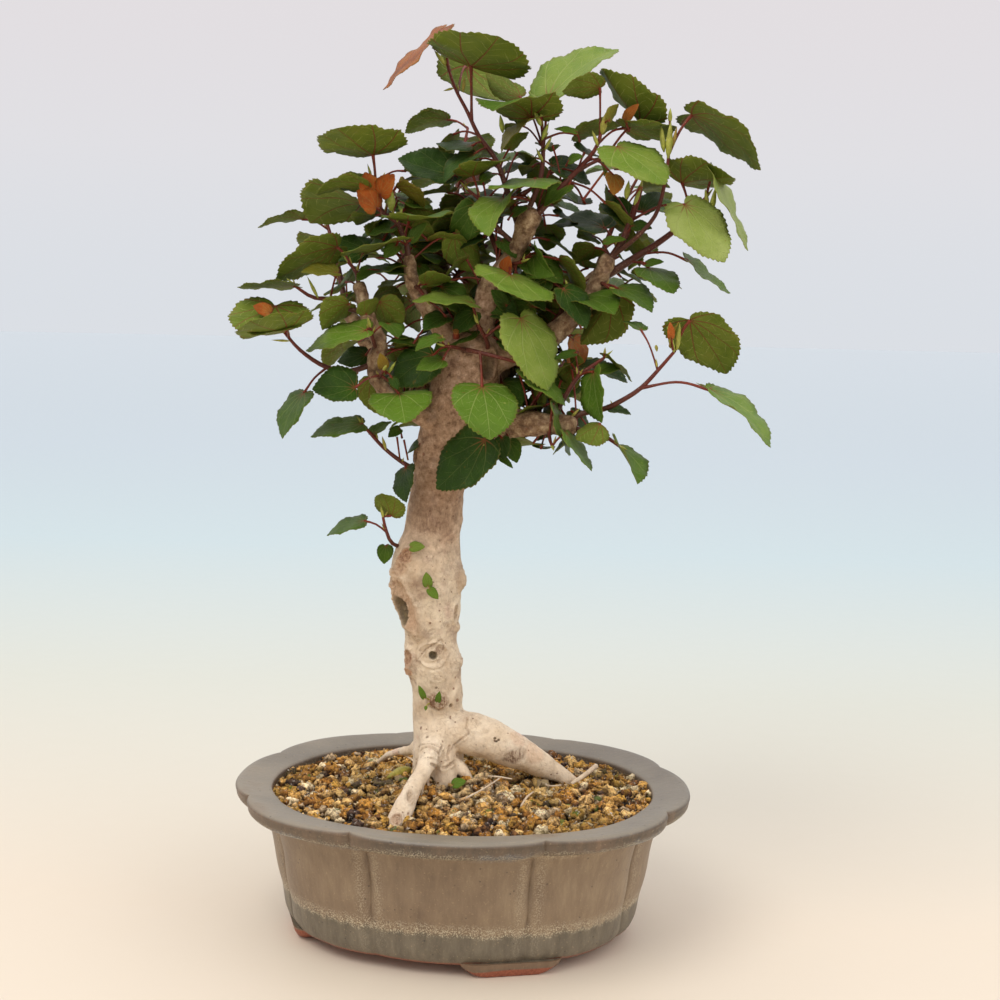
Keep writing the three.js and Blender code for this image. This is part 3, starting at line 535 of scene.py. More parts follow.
def makePot():
    shell = makePotShell()
    tools = [(makeFoot(notch), "UNION") for notch in (0, 2, 4, 6)]
    tools += [(makeDrain(side), "DIFFERENCE") for side in (-1, 1)]
    for tool, operation in tools:
        modifier = shell.modifiers.new(tool.name, "BOOLEAN")
        modifier.object = tool
        modifier.operation = operation
        modifier.solver = "MANIFOLD"
    bakeShape(shell)
    for tool, _ in tools:
        bpy.data.objects.remove(tool)
    places = vectorsOf(shell.data.vertices, "co")
    for vertex, place in zip(shell.data.vertices, places):
        if place[2] > 0.0005:  # the feet stay flat underneath
            spot = Vector(place)
            lift = noise.noise(spot * 28) * pot["throwing"] + noise.noise(spot * 90) * pot["throwing"] * 0.3
            vertex.co += vertex.normal * lift
    notches = np.array([lobedPoint(firstNotch + math.tau * lobe / pot["lobes"], radius, 1)
                        for lobe in range(pot["lobes"]) for radius in np.linspace(0.07, rimRadius, 20)])
    flat = places[:, :2] - np.array(potMiddle)[:2]
    beside = np.linalg.norm(flat[:, None] - notches[None], axis=2).min(1)
    rise = vectorsOf(shell.data.vertex_normals, "vector")[:, 2]
    height = places[:, 2]
    onBody = softStep(height, rimFoot + 0.001, rimFoot - 0.001) * (0.3 + 0.7 * softStep(height, 0.012, 0.034))
    onRim = softStep(height, rimFoot - 0.001, rimFoot + 0.001) * 0.35 * np.clip(1 - 2 * rise, 0, 1)
    # crease: how near the notches a place is, for painted shade in the glaze colour and a groove in the bump
    setValues(shell.data, "crease", np.exp(-(beside / 0.0013) ** 2) * (onBody + onRim))
    setValues(shell.data, "creaseSide", np.exp(-((beside - 0.0046) / 0.0024) ** 2) * onBody)
    setValues(shell.data, "rise", rise)
    shell.data.shade_smooth()
    shell.data.set_sharp_from_angle(angle=math.radians(50))
    shell.data.materials.clear()
    shell.data.materials.append(glazeFinish())
    seat(shell, "glaze", "pot")


def glazeFinish():
    # grey-brown glaze, browner on edges, flecked where it runs, a greyer band below, bare clay under the
    # feet, painted shade in the notch creases
    tree, place, feed = newFinish("speckledGlaze", 0.5, coat=0.12)
    height = axes(place)["Z"]
    broad = noiseOf(place, 14, 4)
    streaks = noiseOf(vectorMaths("MULTIPLY", place, (1, 1, 0.2)), 170, 4, 0.7)
    fine = noiseOf(place, 1000, 3, 0.7)
    rise = attributeOf(tree, "rise")
    crease = attributeOf(tree, "crease")
    ragged = scaled(streaks, 0.007, scaled(broad, 0.007, height))
    mixed = scaled(streaks, 0.5, times(broad, 0.5))
    body = ramp(mixed, (0.32, 104, 86, 68), (0.46, 124, 104, 82), (0.56, 134, 114, 90), (0.7, 152, 132, 104))
    rimTop = ramp(
        broad, (0.3, 110, 103, 91), (0.48, 126, 119, 104), (0.58, 136, 127, 110), (0.7, 126, 108, 86))
    rimSide = ramp(mixed, (0.34, 70, 60, 50), (0.48, 88, 76, 62), (0.58, 106, 88, 70), (0.7, 128, 104, 82))
    rim = mix(fade(rise, 0.35, 0.85), rimSide, rimTop)
    band = ramp(streaks, (0.3, 92, 84, 70), (0.5, 106, 97, 81), (0.7, 122, 112, 94))
    color = mix(fade(ragged, 0.0325, 0.0290), body, band)
    color = mix(fade(ragged, 0.0750, 0.0785), color, rim)
    # painted shade darkens the glaze along the notch creases
    color = laid(color, crease, 0.45, (88, 72, 56))
    border = times(fade(ragged, 0.0285, 0.0305), fade(ragged, 0.0385, 0.0325))
    drips = times(fade(ragged, 0.0715, 0.0755), fade(ragged, 0.0822, 0.0785))
    drips = times(drips, fade(rise, 0.5, 0.2))
    bluish = times(drips, fade(noiseOf(place, 22, 2), 0.52, 0.62))
    color = laid(color, bluish, 0.7, (92, 96, 104))
    flecked = maths("MAXIMUM", maths("MAXIMUM", border, drips), times(attributeOf(tree, "creaseSide"), 0.5))
    crystals = fade(noiseOf(place, 1500, 2, 0.6), 0.50, 0.59)
    color = laid(color, times(flecked, crystals), 0.8, (196, 184, 156))
    color = laid(color, fade(fine, 0.60, 0.70), 0.45, (178, 154, 116))
    worn = fade(addNode(tree, "ShaderNodeNewGeometry")["Pointiness"], 0.515, 0.56)
    color = laid(color, worn, 0.45, (140, 104, 76))
    pits = fade(cellsOf(place, 170)["Distance"], 0.10, 0.05)
    color = laid(color, pits, 0.6, (64, 54, 46))
    bareTo = scaled(fade(axes(place)["X"], -0.070, -0.086), 0.004, 0.0008)
    bare = fade(minus(scaled(broad, -0.007, height), bareTo), 0.0006, -0.0006)
    under = times(fade(rise, -0.5, -0.8), fade(height, 0.014, 0.010))
    bare = maths("MAXIMUM", bare, under)
    color = mix(bare, color, ramp(fine, (0.35, 132, 72, 52), (0.65, 166, 98, 72)))
    relief = scaled(pits, -1.0, times(noiseOf(place, 240, 5, 0.65), 1.2))
    relief = scaled(crease, -1.0, relief)
    return feed({
        "Base Color": color, "Roughness": scaled(bare, 0.3, scaled(broad, 0.2, 0.38)),
        "Normal": bump(relief, 0.45, 0.0007)})


makePot()

# Soil

soil = {
    "top": 0.0738,
    "crown": 0.0042,
    "room": 0.0008,
    "rings": 26,
    "unevenness": 0.0012,
    "mound": 0.0042,  # heaped round the trunk's foot
    "moundReach": 0.021,
    "seed": 5,
    "layers": {  # spacing, size, size spread, flatness, lift, reach from the trunk's foot, steps of a grain
        "soilChunks": (0.0078, 0.0072, 0.3, 0.8, 0.0022, 1.0, 5),
        "soilGrains": (0.0042, 0.0050, 0.4, 0.85, 0.0028, 1.0, 4),
        "soilFines": (0.0034, 0.0026, 0.4, 0.9, 0.0022, 1.0, 3),
        "soilPebbles": (0.0085, 0.0080, 0.3, 0.55, 0.0018, 0.052, 4),
        "soilCrumbs": (0.0030, 0.0012, 0.4, 0.8, 0.0042, 0.080, 3),
    },
}


def makeSoilBed():
    wellTop = (bodyRadius - pot["wall"], pot["height"] - 0.018)
    wellEdge = (rimRadius - pot["rimWidth"], pot["height"] - 0.002)
    share = (wellEdge[1] - soil["top"]) / (wellEdge[1] - wellTop[1])
    soilRadius = wellEdge[0] + (wellTop[0] - wellEdge[0]) * share - soil["room"]
    soilNotch = innerNotch + (wellNotch - innerNotch) * share
    profile = [
        (0, wellFloor + 0.0003, 0),
        (lowRadius - 0.007 - soil["room"], wellFloor + 0.0003, wellNotch),
        (wellTop[0] - soil["room"], wellTop[1], wellNotch),
    ]
    for ring in range(soil["rings"], -1, -1):
        reach = ring / soil["rings"]
        height = soil["top"] - 0.0020 + soil["crown"] * math.cos(reach * math.pi / 2)
        profile.append((soilRadius * reach, height, reach * soilNotch))
    bed = lobedMesh("soilBed", profile)
    for vertex in bed.data.vertices:
        if vertex.co.z > soil["top"] - 0.003:
            away = math.hypot(vertex.co.x - soilFoot.x, vertex.co.y - soilFoot.y)
            vertex.co.z += noise.noise(vertex.co * 90) * soil["unevenness"]
            vertex.co.z += soil["mound"] * math.exp(-(away / soil["moundReach"]) ** 2)
    return bed


def scatterTree():
    # lumps scattered over a surface, each turned and sized at random, thinned out away from a centre
    tree, entry, exits = newGroup("scatterLumps", "GeometryNodeTree", {
        "Surface": "Geometry", "Spacing": "Float", "Size": "Float", "Size Spread": "Float",
        "Flatness": "Float", "Lift": "Float", "Centre": "Vector", "Reach": "Float", "Seed": "Int",
        "Lump Steps": "Int", "Finish": "Material"}, {"Lumps": "Geometry"})
    place = addNode(tree, "GeometryNodeInputPosition")[0]
    top = maths("GREATER_THAN", axes(place)["Z"], soil["top"] - 0.004)
    near = fade(vectorMaths("DISTANCE", place, entry["Centre"]), entry["Reach"], times(entry["Reach"], 0.6))
    points = addNode(tree, "GeometryNodeDistributePointsOnFaces", {
        "Mesh": entry["Surface"], "Distance Min": entry["Spacing"], "Density Max": 120000.0,
        "Density Factor": times(top, near), "Seed": entry["Seed"]}, distribute_method="POISSON")["Points"]
    lumps = []
    for variant in range(4):
        steps = {"Vertices " + axis: entry["Lump Steps"] for axis in "XYZ"}
        cube = addNode(tree, "GeometryNodeMeshCube", {"Size": (2, 2, 2), **steps})["Mesh"]
        ball = vectorMaths("NORMALIZE", addNode(tree, "GeometryNodeInputPosition")[0])
        rough = noiseOf(vectorMaths("ADD", ball, (variant * 7.3, 0, 0)), 1.7, 2, 0.5, "Color")
        offset = vectorMaths("SCALE", vectorMaths("SUBTRACT", rough, (0.5, 0.5, 0.5)))
        setSocket(offset.node.inputs["Scale"], 2.1)
        shaped = stepOf("SetPosition", cube, {"Position": vectorMaths("ADD", ball, offset)})
        lumps.append(stepOf("GeometryToInstance", shaped))
    size = scaled(randomOf(tree, "FLOAT", -1.0, 1.0, 11), entry["Size Spread"], 1.0)
    half = times(times(size, entry["Size"]), 0.5)
    scale = {"X": half, "Y": half, "Z": times(half, entry["Flatness"])}
    lift = times(randomOf(tree, "FLOAT", -0.35, 1.0, 17), entry["Lift"])
    raised = stepOf("SetPosition", points, {"Offset": addNode(tree, "ShaderNodeCombineXYZ", {"Z": lift})[0]})
    tone = {"Name": "tone", "Value": randomOf(tree, "FLOAT", 0.0, 1.0, 23)}
    toned = stepOf("StoreNamedAttribute", raised, tone, domain="POINT")
    spin = randomOf(tree, "FLOAT_VECTOR", (-0.9, -0.9, 0.0), (0.9, 0.9, math.tau), 8)
    placed = addNode(tree, "GeometryNodeInstanceOnPoints", {
        "Points": toned, "Instance": joined(lumps), "Pick Instance": True,
        "Instance Index": randomOf(tree, "INT", 0, 3, 3),
        "Scale": addNode(tree, "ShaderNodeCombineXYZ", scale)[0],
        "Rotation": addNode(tree, "FunctionNodeEulerToRotation", {0: spin})[0]})[0]
    smooth = stepOf("SetShadeSmooth", stepOf("RealizeInstances", placed))
    # how far each grain's surface faces up, which sets its painted shade and light
    upward = {"Name": "upward", "Value": axes(addNode(tree, "GeometryNodeInputNormal")[0])["Z"]}
    marked = stepOf("StoreNamedAttribute", smooth, upward, domain="POINT")
    setSocket(exits[0], stepOf("SetMaterial", marked, {"Material": entry["Finish"]}))
    return tree


def gritFinish():
    # rough grains of ochre clay, tan pumice and brown lava, mossy in places, paler round the trunk's foot
    tree, place, feed = newFinish("gritGrains", 0.92)
    tone = attributeOf(tree, "tone")
    color = ramp(
        tone, (0.0, 186, 134, 62), (0.14, 216, 168, 96), (0.28, 160, 112, 52), (0.40, 230, 192, 128),
        (0.52, 194, 150, 72), (0.64, 118, 82, 48), (0.70, 214, 176, 118), (0.80, 90, 70, 60),
        (0.85, 178, 156, 128), (0.91, 240, 220, 184), constant=True)
    wander = scaled(noiseOf(place, 40, 3), 0.05, vectorMaths("DISTANCE", place, tuple(soilFoot)))
    color = laid(color, times(fade(wander, 0.072, 0.040), fade(tone, 0.15, 0.4)), 0.6, (214, 194, 160))
    mottled = noiseOf(place, 520, 5, 0.75)
    shade = ramp(
        mottled, (0.37, 0.16, 0.12, 0.08), (0.48, 0.90, 0.86, 0.74), (0.60, 1.75, 1.7, 1.55), shown=False)
    color = mix(1.0, color, shade, "MULTIPLY")
    # painted shade and light: grains darker on their flanks, brighter on their tops
    dirt = ramp(attributeOf(tree, "upward"), (0.0, 0.32, 0.27, 0.20), (0.5, 0.80, 0.77, 0.72),
                (0.9, 1.3, 1.3, 1.28), shown=False)  # painted shade on the grains' flanks and undersides, painted light on their tops
    color = mix(1.0, color, dirt, "MULTIPLY")
    mossy = times(fade(noiseOf(place, 30, 3), 0.46, 0.62), 0.55)
    color = mix(times(mossy, fade(mottled, 0.40, 0.58)), color, paint(110, 104, 48))
    color = laid(color, fade(noiseOf(place, 130, 2), 0.66, 0.70), 0.8, (76, 108, 34))
    # pale chalky specks, partly painted highlights on the grains
    color = laid(color, fade(noiseOf(place, 400, 4, 0.75), 0.60, 0.66), 0.85, (238, 230, 212))
    relief = scaled(noiseOf(place, 1400, 4, 0.7), 0.5, mottled)
    return feed({"Base Color": color, "Normal": bump(relief, 1.0, 0.0020)})


def bedFinish():
    # dark fines between the grains, painted darker still as the shade in the gaps
    tree, place, feed = newFinish("soilFines", 0.95)
    color = ramp(noiseOf(place, 420, 5, 0.7), (0.3, 24, 18, 10), (0.55, 52, 39, 22), (0.75, 92, 72, 42))
    return feed({"Base Color": color, "Normal": bump(noiseOf(place, 600, 5, 0.7), 0.8, 0.0012)})


def makeSoil():
    bed = makeSoilBed()
    lumps = scatterTree()
    grit = gritFinish()
    columns = ("Spacing", "Size", "Size Spread", "Flatness", "Lift", "Reach", "Lump Steps")
    for number, (name, values) in enumerate(soil["layers"].items()):
        layer = bpy.data.objects.new(name, bed.data.copy())
        bpy.context.collection.objects.link(layer)
        growWith(layer, lumps, {
            **dict(zip(columns, values)), "Centre": tuple(soilFoot), "Seed": soil["seed"] + number,
            "Finish": grit})
        seat(layer, "grit", "soil")
    bed.data.materials.append(bedFinish())
    seat(bed, "grit", "soil")


soilFoot = seen(455, 775, -0.01)
makeSoil()

# Trunk, branches and roots: radii in metres along lines of (column, row, back)

trunk = {
    "voxel": 0.00125,
    "smoothing": 5,
    "sides": 26,
    "step": 0.003,
    "swells": 0.0009,  # broad, middle and fine unevenness of the bark
    "lumps": 0.0006,
    "wrinkles": 0.00022,
    "branchRoughness": 0.0007,
    "rootFade": (0.128, 0.098),  # heights between which the bark turns into the paler root skin
}
trunkLines = {
    "stem": ([0.015, 0.0138, 0.0136, 0.0134, 0.0152, 0.0146, 0.0142, 0.0162, 0.018, 0.0186, 0.0156, 0.0152,
        0.0138, 0.0162, 0.0172, 0.0176, 0.0150],
        [(437, 800, 0.01), (438, 745, 0.01), (437.5, 710, 0.0095), (435.5, 684, 0.0085), (433, 664, 0.008),
        (431, 648, 0.008), (431, 634, 0.008), (430.5, 612, 0.007), (427.5, 590, 0.007), (426, 564, 0.006),
        (431, 537, 0.006), (434, 515, 0.006), (438, 488, 0.005), (446, 450, 0.004), (460, 405, 0.003),
        (468, 370, 0.004), (476, 336, 0.005)]),
    "upperBranch": ([0.008, 0.0065, 0.0045, 0.0066, 0.0056], [(478, 350, 0.004), (490, 290, 0.002),
        (519, 245, 0), (528, 222, -0.001), (534, 209, -0.002)]),
    "rightBranch": ([0.008, 0.006, 0.005, 0.004], [(488, 362, 0.002), (556, 332, 0.005), (590, 296, 0.008),
        (610, 256, 0.005)]),
    "leftBranch": ([0.007, 0.005, 0.0045, 0.0045, 0.0043, 0.004, 0.0035], [(452, 430, -0.002),
        (415, 412, -0.009), (385, 392, -0.013), (374, 365, -0.013), (380, 345, -0.011), (368, 318, -0.009),
        (358, 283, -0.006)]),
    "leftUpperBranch": ([0.0065, 0.005, 0.004, 0.0032], [(466, 356, 0), (436, 320, -0.002),
        (413, 283, -0.006), (409, 254, -0.007)]),
    "lowerRightBranch": ([0.009, 0.0075, 0.0055, 0.005], [(462, 424, -0.002), (510, 424, -0.008),
        (546, 424, -0.013), (577, 426, -0.016)]),
    "backUpperBranch": ([0.007, 0.006, 0.005, 0.004], [(474, 350, 0.008), (452, 312, 0.034),
        (440, 262, 0.056), (452, 222, 0.07)]),
    "backRightBranch": ([0.0075, 0.006, 0.005, 0.004], [(474, 388, 0.008), (524, 352, 0.04),
        (566, 316, 0.062), (596, 274, 0.074)]),
    "backLeftBranch": ([0.007, 0.0055, 0.0045, 0.0038], [(456, 410, 0.008), (412, 384, 0.036),
        (372, 350, 0.054), (344, 304, 0.062)]),
    "rightArchRoot": ([0.011, 0.0114, 0.0103, 0.0086, 0.0066, 0.0048, 0.0038], [(444, 727, 0.008),
        (478, 735, 0.004), (506, 747, 0.004), (526, 757, 0.006), (543, 766, 0.008), (560, 775, 0.012),
        (580, 788, 0.017)]),
    "frontRoot": ([0.0100, 0.0066, 0.0047, 0.0041, 0.0046, 0.0053, 0.0057, 0.0044], [(436, 738, 0.004),
        (431, 751, -0.012), (426, 764, -0.019), (420, 777, -0.027), (411, 792, -0.037), (404, 807, -0.046),
        (398, 821, -0.053), (393, 836, -0.058)]),
    "footSwell": ([0.0136, 0.0130, 0.0104], [(440, 730, 0.006), (444, 741, 0.001), (448, 751, -0.003)]),
    "middleStubRoot": ([0.0066, 0.0058, 0.0058], [(443, 752, -0.004), (445, 767, -0.009),
        (446, 790, -0.012)]),
    "rightStubRoot": ([0.0042, 0.0034, 0.0030], [(451, 764, -0.002), (461, 769, -0.004), (470, 782, -0.007)]),
    "backLeftRoot": ([0.008, 0.0036, 0.0026, 0.0022, 0.002], [(430, 744, 0.012), (412, 750, 0.020),
        (397, 752, 0.028), (385, 757, 0.034), (372, 768, 0.038)]),
    "backRoot": ([0.01, 0.0075, 0.006, 0.0045], [(440, 732, 0.012), (446, 732, 0.034), (458, 738, 0.056),
        (470, 756, 0.07)]),
}


def scar(column, row, across, along, tilt=0, rim=0.0, rimWidth=0.3, hole=0.0, floor=0.6, rings=0.0,
         crust=0.0, dark=0.0, raw=0.0, stain=0.0):
    # a mark in the bark: half sizes and heights in metres, tilt in degrees, its top to the left
    return dict(locals())


barkMarks = [
    scar(434, 657, 0.0078, 0.0068, 8, rim=0.0008, rimWidth=0.12, hole=0.0002, floor=0.9, rings=0.00018,
         stain=0.12),
    scar(433.5, 658, 0.0026, 0.0025, rim=0.0004, rimWidth=0.3, hole=0.0020, floor=0.6, rings=0.0003,
         dark=0.85),
    scar(442, 650, 0.0022, 0.0034, -40, rim=0.0002, rimWidth=0.5, crust=0.0003, stain=0.8),
    scar(405, 605, 0.0056, 0.0165, 14, rim=0.0032, rimWidth=0.36, hole=0.0018, floor=0.4, crust=0.0004,
         raw=0.35, stain=0.5),
    scar(401.5, 611, 0.0026, 0.0092, 9, rim=0.0004, hole=0.0046, floor=0.5, crust=0.0004, dark=0.8,
         stain=0.5),
    scar(393.5, 579, 0.0028, 0.0040, 25, rim=0.0008, rimWidth=0.4, crust=0.0004, stain=0.8),
    scar(403.8, 556.8, 0.0040, 0.0042, rim=0.0010, rimWidth=0.3, hole=0.0004, rings=0.0006, crust=0.0005,
         raw=0.5, stain=0.95),
    scar(399, 566, 0.0046, 0.0042, -20, rim=0.0004, rimWidth=0.5, crust=0.0006, raw=0.3, stain=0.6),
    scar(407, 658, 0.0034, 0.0046, rim=0.0016, rimWidth=0.32, hole=0.0010, rings=0.0004, crust=0.0003,
         raw=0.4, stain=0.9),
    scar(406.3, 671, 0.0030, 0.0026, rim=0.0006, rimWidth=0.4, hole=-0.0016, crust=0.0004, raw=0.7,
         stain=0.8),
    scar(436.8, 703, 0.0052, 0.0048, rim=0.0002, rimWidth=0.4, hole=-0.0014, floor=0.7, crust=0.0009, raw=0.2,
         stain=1.0),
    scar(464, 580, 0.0060, 0.0092, rim=0.0004, rimWidth=0.5, hole=-0.0034, floor=0.1, crust=0.0004,
         stain=0.25),
    scar(457, 613.7, 0.0017, 0.0046, rim=0.0009, rimWidth=0.4, hole=0.0009, stain=0.7),
    scar(460, 628, 0.0040, 0.0040, hole=-0.0016, floor=0.1, stain=0.2),
    scar(461, 661, 0.0044, 0.0066, rim=0.0005, rimWidth=0.5, hole=-0.0020, floor=0.1, crust=0.0003,
         stain=0.3),
    scar(460, 697, 0.0038, 0.0066, -15, rim=0.0010, rimWidth=0.35, hole=-0.0016, floor=0.1, stain=0.25),
    scar(452.6, 706, 0.0011, 0.0011, hole=0.0004, dark=0.4, stain=0.9),
    scar(436, 690, 0.0007, 0.0007, hole=0.0003, dark=0.5, stain=0.9),
    scar(424.6, 734, 0.0011, 0.0009, hole=0.0004, dark=0.5, stain=0.8),
    scar(437, 679, 0.0040, 0.0030, rim=0.0003, hole=-0.0004, floor=0.1),
    scar(414, 455, 0.0034, 0.0040, rim=0.0009, rimWidth=0.35, hole=0.0006, rings=0.0004, raw=0.5, stain=0.8),
    scar(490, 365, 0.0050, 0.0080, -15, rim=0.0016, rimWidth=0.35, hole=0.0030, floor=0.5, dark=0.6,
         stain=0.6),
    scar(428, 521, 0.0120, 0.0070, 10, stain=0.65),
    scar(420, 505, 0.0090, 0.0120, 20, stain=0.45),
    scar(447, 508, 0.0070, 0.0060, 0, stain=0.4),
    scar(440, 492, 0.0130, 0.0080, 0, stain=0.4),
    scar(452, 597, 0.0056, 0.0044, 0, stain=0.28),
    scar(412, 592, 0.0040, 0.0100, 20, stain=0.4),
    scar(411, 795, 0.0018, 0.0044, -35, rim=0.0008, rimWidth=0.35, hole=0.0014, stain=0.6),
    scar(396, 817, 0.0026, 0.0034, -20, rim=0.0006, rimWidth=0.35, rings=0.0004, raw=0.35, stain=0.8),
    scar(536, 750, 0.0056, 0.0060, 0, raw=0.45, stain=0.15),
    scar(520, 738, 0.0040, 0.0050, 30, raw=0.4, stain=0.15),
    scar(513, 760, 0.0054, 0.0040, 20, crust=0.0002, stain=0.95),
    scar(524, 752, 0.0030, 0.0034, 0, stain=0.6),
    scar(497, 737, 0.0008, 0.0007, hole=0.0005, dark=0.8, stain=1.0),
    scar(501, 739, 0.0008, 0.0007, hole=0.0005, dark=0.8, stain=1.0),
    scar(498.5, 742, 0.0009, 0.0006, hole=0.0005, dark=0.8, stain=1.0),
]
barkFolds = [  # thin creases: a line of (column, row), its depth and half width
    ([(467, 716), (464, 727), (466, 733), (460, 741), (456, 747), (450, 753)], 0.00035, 0.0007),
    ([(417, 752), (421, 747), (429, 745), (437, 748), (441, 755)], 0.0007, 0.0008),
    ([(416, 748), (421, 743), (430, 741), (439, 744), (445, 752)], 0.0005, 0.0007),
    ([(445, 746), (442, 753), (440, 760)], 0.0008, 0.0009),
    ([(452, 748), (450, 757), (453, 765)], 0.0006, 0.0008),
    ([(433, 764), (441, 767), (449, 766), (456, 762)], 0.0008, 0.0008),
    ([(432, 757), (440, 761), (449, 760), (458, 755)], 0.0005, 0.0006),
    ([(431, 648), (437, 645), (443, 641), (445, 646)], 0.0005, 0.0006),
    ([(417, 660), (424, 652), (432, 648)], 0.0004, 0.0005),
]


def tubesAlong(lines, sides):
    # a tube along every line, as thick as its girth attribute
    tree = lines.id_data
    curve = addNode(tree, "GeometryNodeMeshToCurve", {"Mesh": lines})[0]
    profile = addNode(tree, "GeometryNodeCurvePrimitiveCircle", {"Resolution": sides, "Radius": 1.0})[0]
    return addNode(tree, "GeometryNodeCurveToMesh", {
        "Curve": curve, "Profile Curve": profile, "Scale": stored(tree, "girth"), "Fill Caps": True})[0]


def thickenTree():
    tree, entry, exits = newGroup("thickenLines", "GeometryNodeTree", {
        "Lines": "Geometry", "Sides": "Int", "Finish": "Material"}, {"Tubes": "Geometry"})
    solid = stepOf("RealizeInstances", tubesAlong(entry["Lines"], entry["Sides"]))
    setSocket(exits[0], stepOf("SetMaterial", solid, {"Material": entry["Finish"]}))
    return tree


def layWood(name, lines, step, sides, endShare):
    # wooden tubes along lines of (radii, places), narrowed at the far end
    vertices = []
    edges = []
    girths = []
    for radii, places in lines:
        line, shares = smoothLine(places, step)
        first = len(vertices)
        vertices += line
        edges += [(first + k, first + k + 1) for k in range(len(line) - 1)]
        girth = girthAt(shares, places, radii)
        girth[-1] *= endShare
        girths += list(girth)
    made = newObject(name, vertices, [], edges)
    setValues(made.data, "girth", girths)
    return growWith(made, woodNodes, {"Sides": sides, "Finish": bark})


def noiseOver(places, size, seed=0.0):
    return np.array([noise.noise(spot) for spot in places / size + seed])


def spotOn(surface, column, row):
    # the foremost place of a surface at a picture point, and the way the surface faces there
    places, normals, seenPlaces = surface
    aside = np.hypot(seenPlaces[:, 0] - column, seenPlaces[:, 1] - row)
    facing = normals @ np.array(frontTurn @ up)
    reach = 2.5
    while not ((aside < reach) & (facing > 0.15)).any():
        reach += 1
    around = np.flatnonzero((aside < reach) & (facing > 0.15))
    distance = np.linalg.norm(places[around] - np.array(frontEye + potMiddle), axis=1)
    spot = places[around[distance.argmin()]]
    close = np.linalg.norm(places - spot, axis=1) < 0.003
    normal = normals[close & (facing > 0)].mean(0)
    return spot, normal / np.linalg.norm(normal)


def raiseTo(values, chosen, least):
    values[chosen] = np.maximum(values[chosen], least)


def markBark(surface, marks, push):
    places, normals, _ = surface
    for mark in barkMarks:
        spot, facing = spotOn(surface, mark["column"], mark["row"])
        across = np.cross((0, 0, 1), facing)
        across /= np.linalg.norm(across)
        along = np.cross(facing, across)
        cosine = math.cos(math.radians(mark["tilt"]))
        sine = math.sin(math.radians(mark["tilt"]))
        across, along = across * cosine + along * sine, along * cosine - across * sine
        away = places - spot
        near = (np.abs(away @ facing) < 0.008) & (normals @ facing > -0.1)
        near &= np.linalg.norm(away, axis=1) < 2.5 * max(mark["across"], mark["along"])
        chosen = np.flatnonzero(near)
        u = away[chosen] @ across / mark["across"]
        v = away[chosen] @ along / mark["along"]
        wobble = noiseOver(places[chosen], 0.004, mark["row"]) * 0.14
        d = np.hypot(u, v) * (1 + wobble)
        push[chosen] += mark["rim"] * np.exp(-((d - 1) / mark["rimWidth"]) ** 2)
        push[chosen] -= mark["hole"] * softStep(d, 1, mark["floor"])
        push[chosen] += mark["rings"] * np.sin(d * 16 + wobble * 20) * softStep(d, 1.05, 0.9)
        if mark["crust"]:
            edge = softStep(d, 1.35, 0.95)
            push[chosen] += mark["crust"] * noiseOver(places[chosen], 0.0013, 9) * edge
            push[chosen] += mark["crust"] * noiseOver(places[chosen], 0.0006, 5) * edge * 0.5
        for name, start, end in (("dark", 1.0, 0.75), ("raw", 1.25, 0.8), ("stain", 1.3, 0.7)):
            raiseTo(marks[name], chosen, mark[name] * softStep(d, start, end))


def foldBark(surface, marks, push):
    places = surface[0]
    for line, depth, halfWidth in barkFolds:
        path, _ = smoothLine([Vector(spotOn(surface, *point)[0]) for point in line], 0.0006)
        path = np.array(path)
        chosen = np.flatnonzero(np.linalg.norm(places - path.mean(0), axis=1) < 0.03)
        nearest = np.linalg.norm(places[chosen][:, None] - path[None], axis=2).min(1)
        push[chosen] += depth * 0.6 * np.exp(-((nearest / halfWidth - 1.6) / 0.8) ** 2)
        groove = np.exp(-(nearest / halfWidth) ** 2)
        push[chosen] -= depth * groove
        # painted shade along the fold's groove, kept in the same mask as the bark's real stains
        raiseTo(marks["stain"], chosen, groove * 0.6)


def refineAt(mesh, spots):
    # smaller faces round spots of (place, radius)
    work = bmesh.new()
    work.from_mesh(mesh)
    places = vectorsOf(mesh.vertices, "co")
    wanted = np.zeros(len(places), bool)
    for spot, radius in spots:
        wanted |= np.linalg.norm(places - spot, axis=1) < radius
    edges = [edge for edge in work.edges if wanted[edge.verts[0].index] and wanted[edge.verts[1].index]]
    bmesh.ops.subdivide_edges(work, edges=edges, cuts=2, use_grid_fill=True)
    work.to_mesh(mesh)
    work.free()


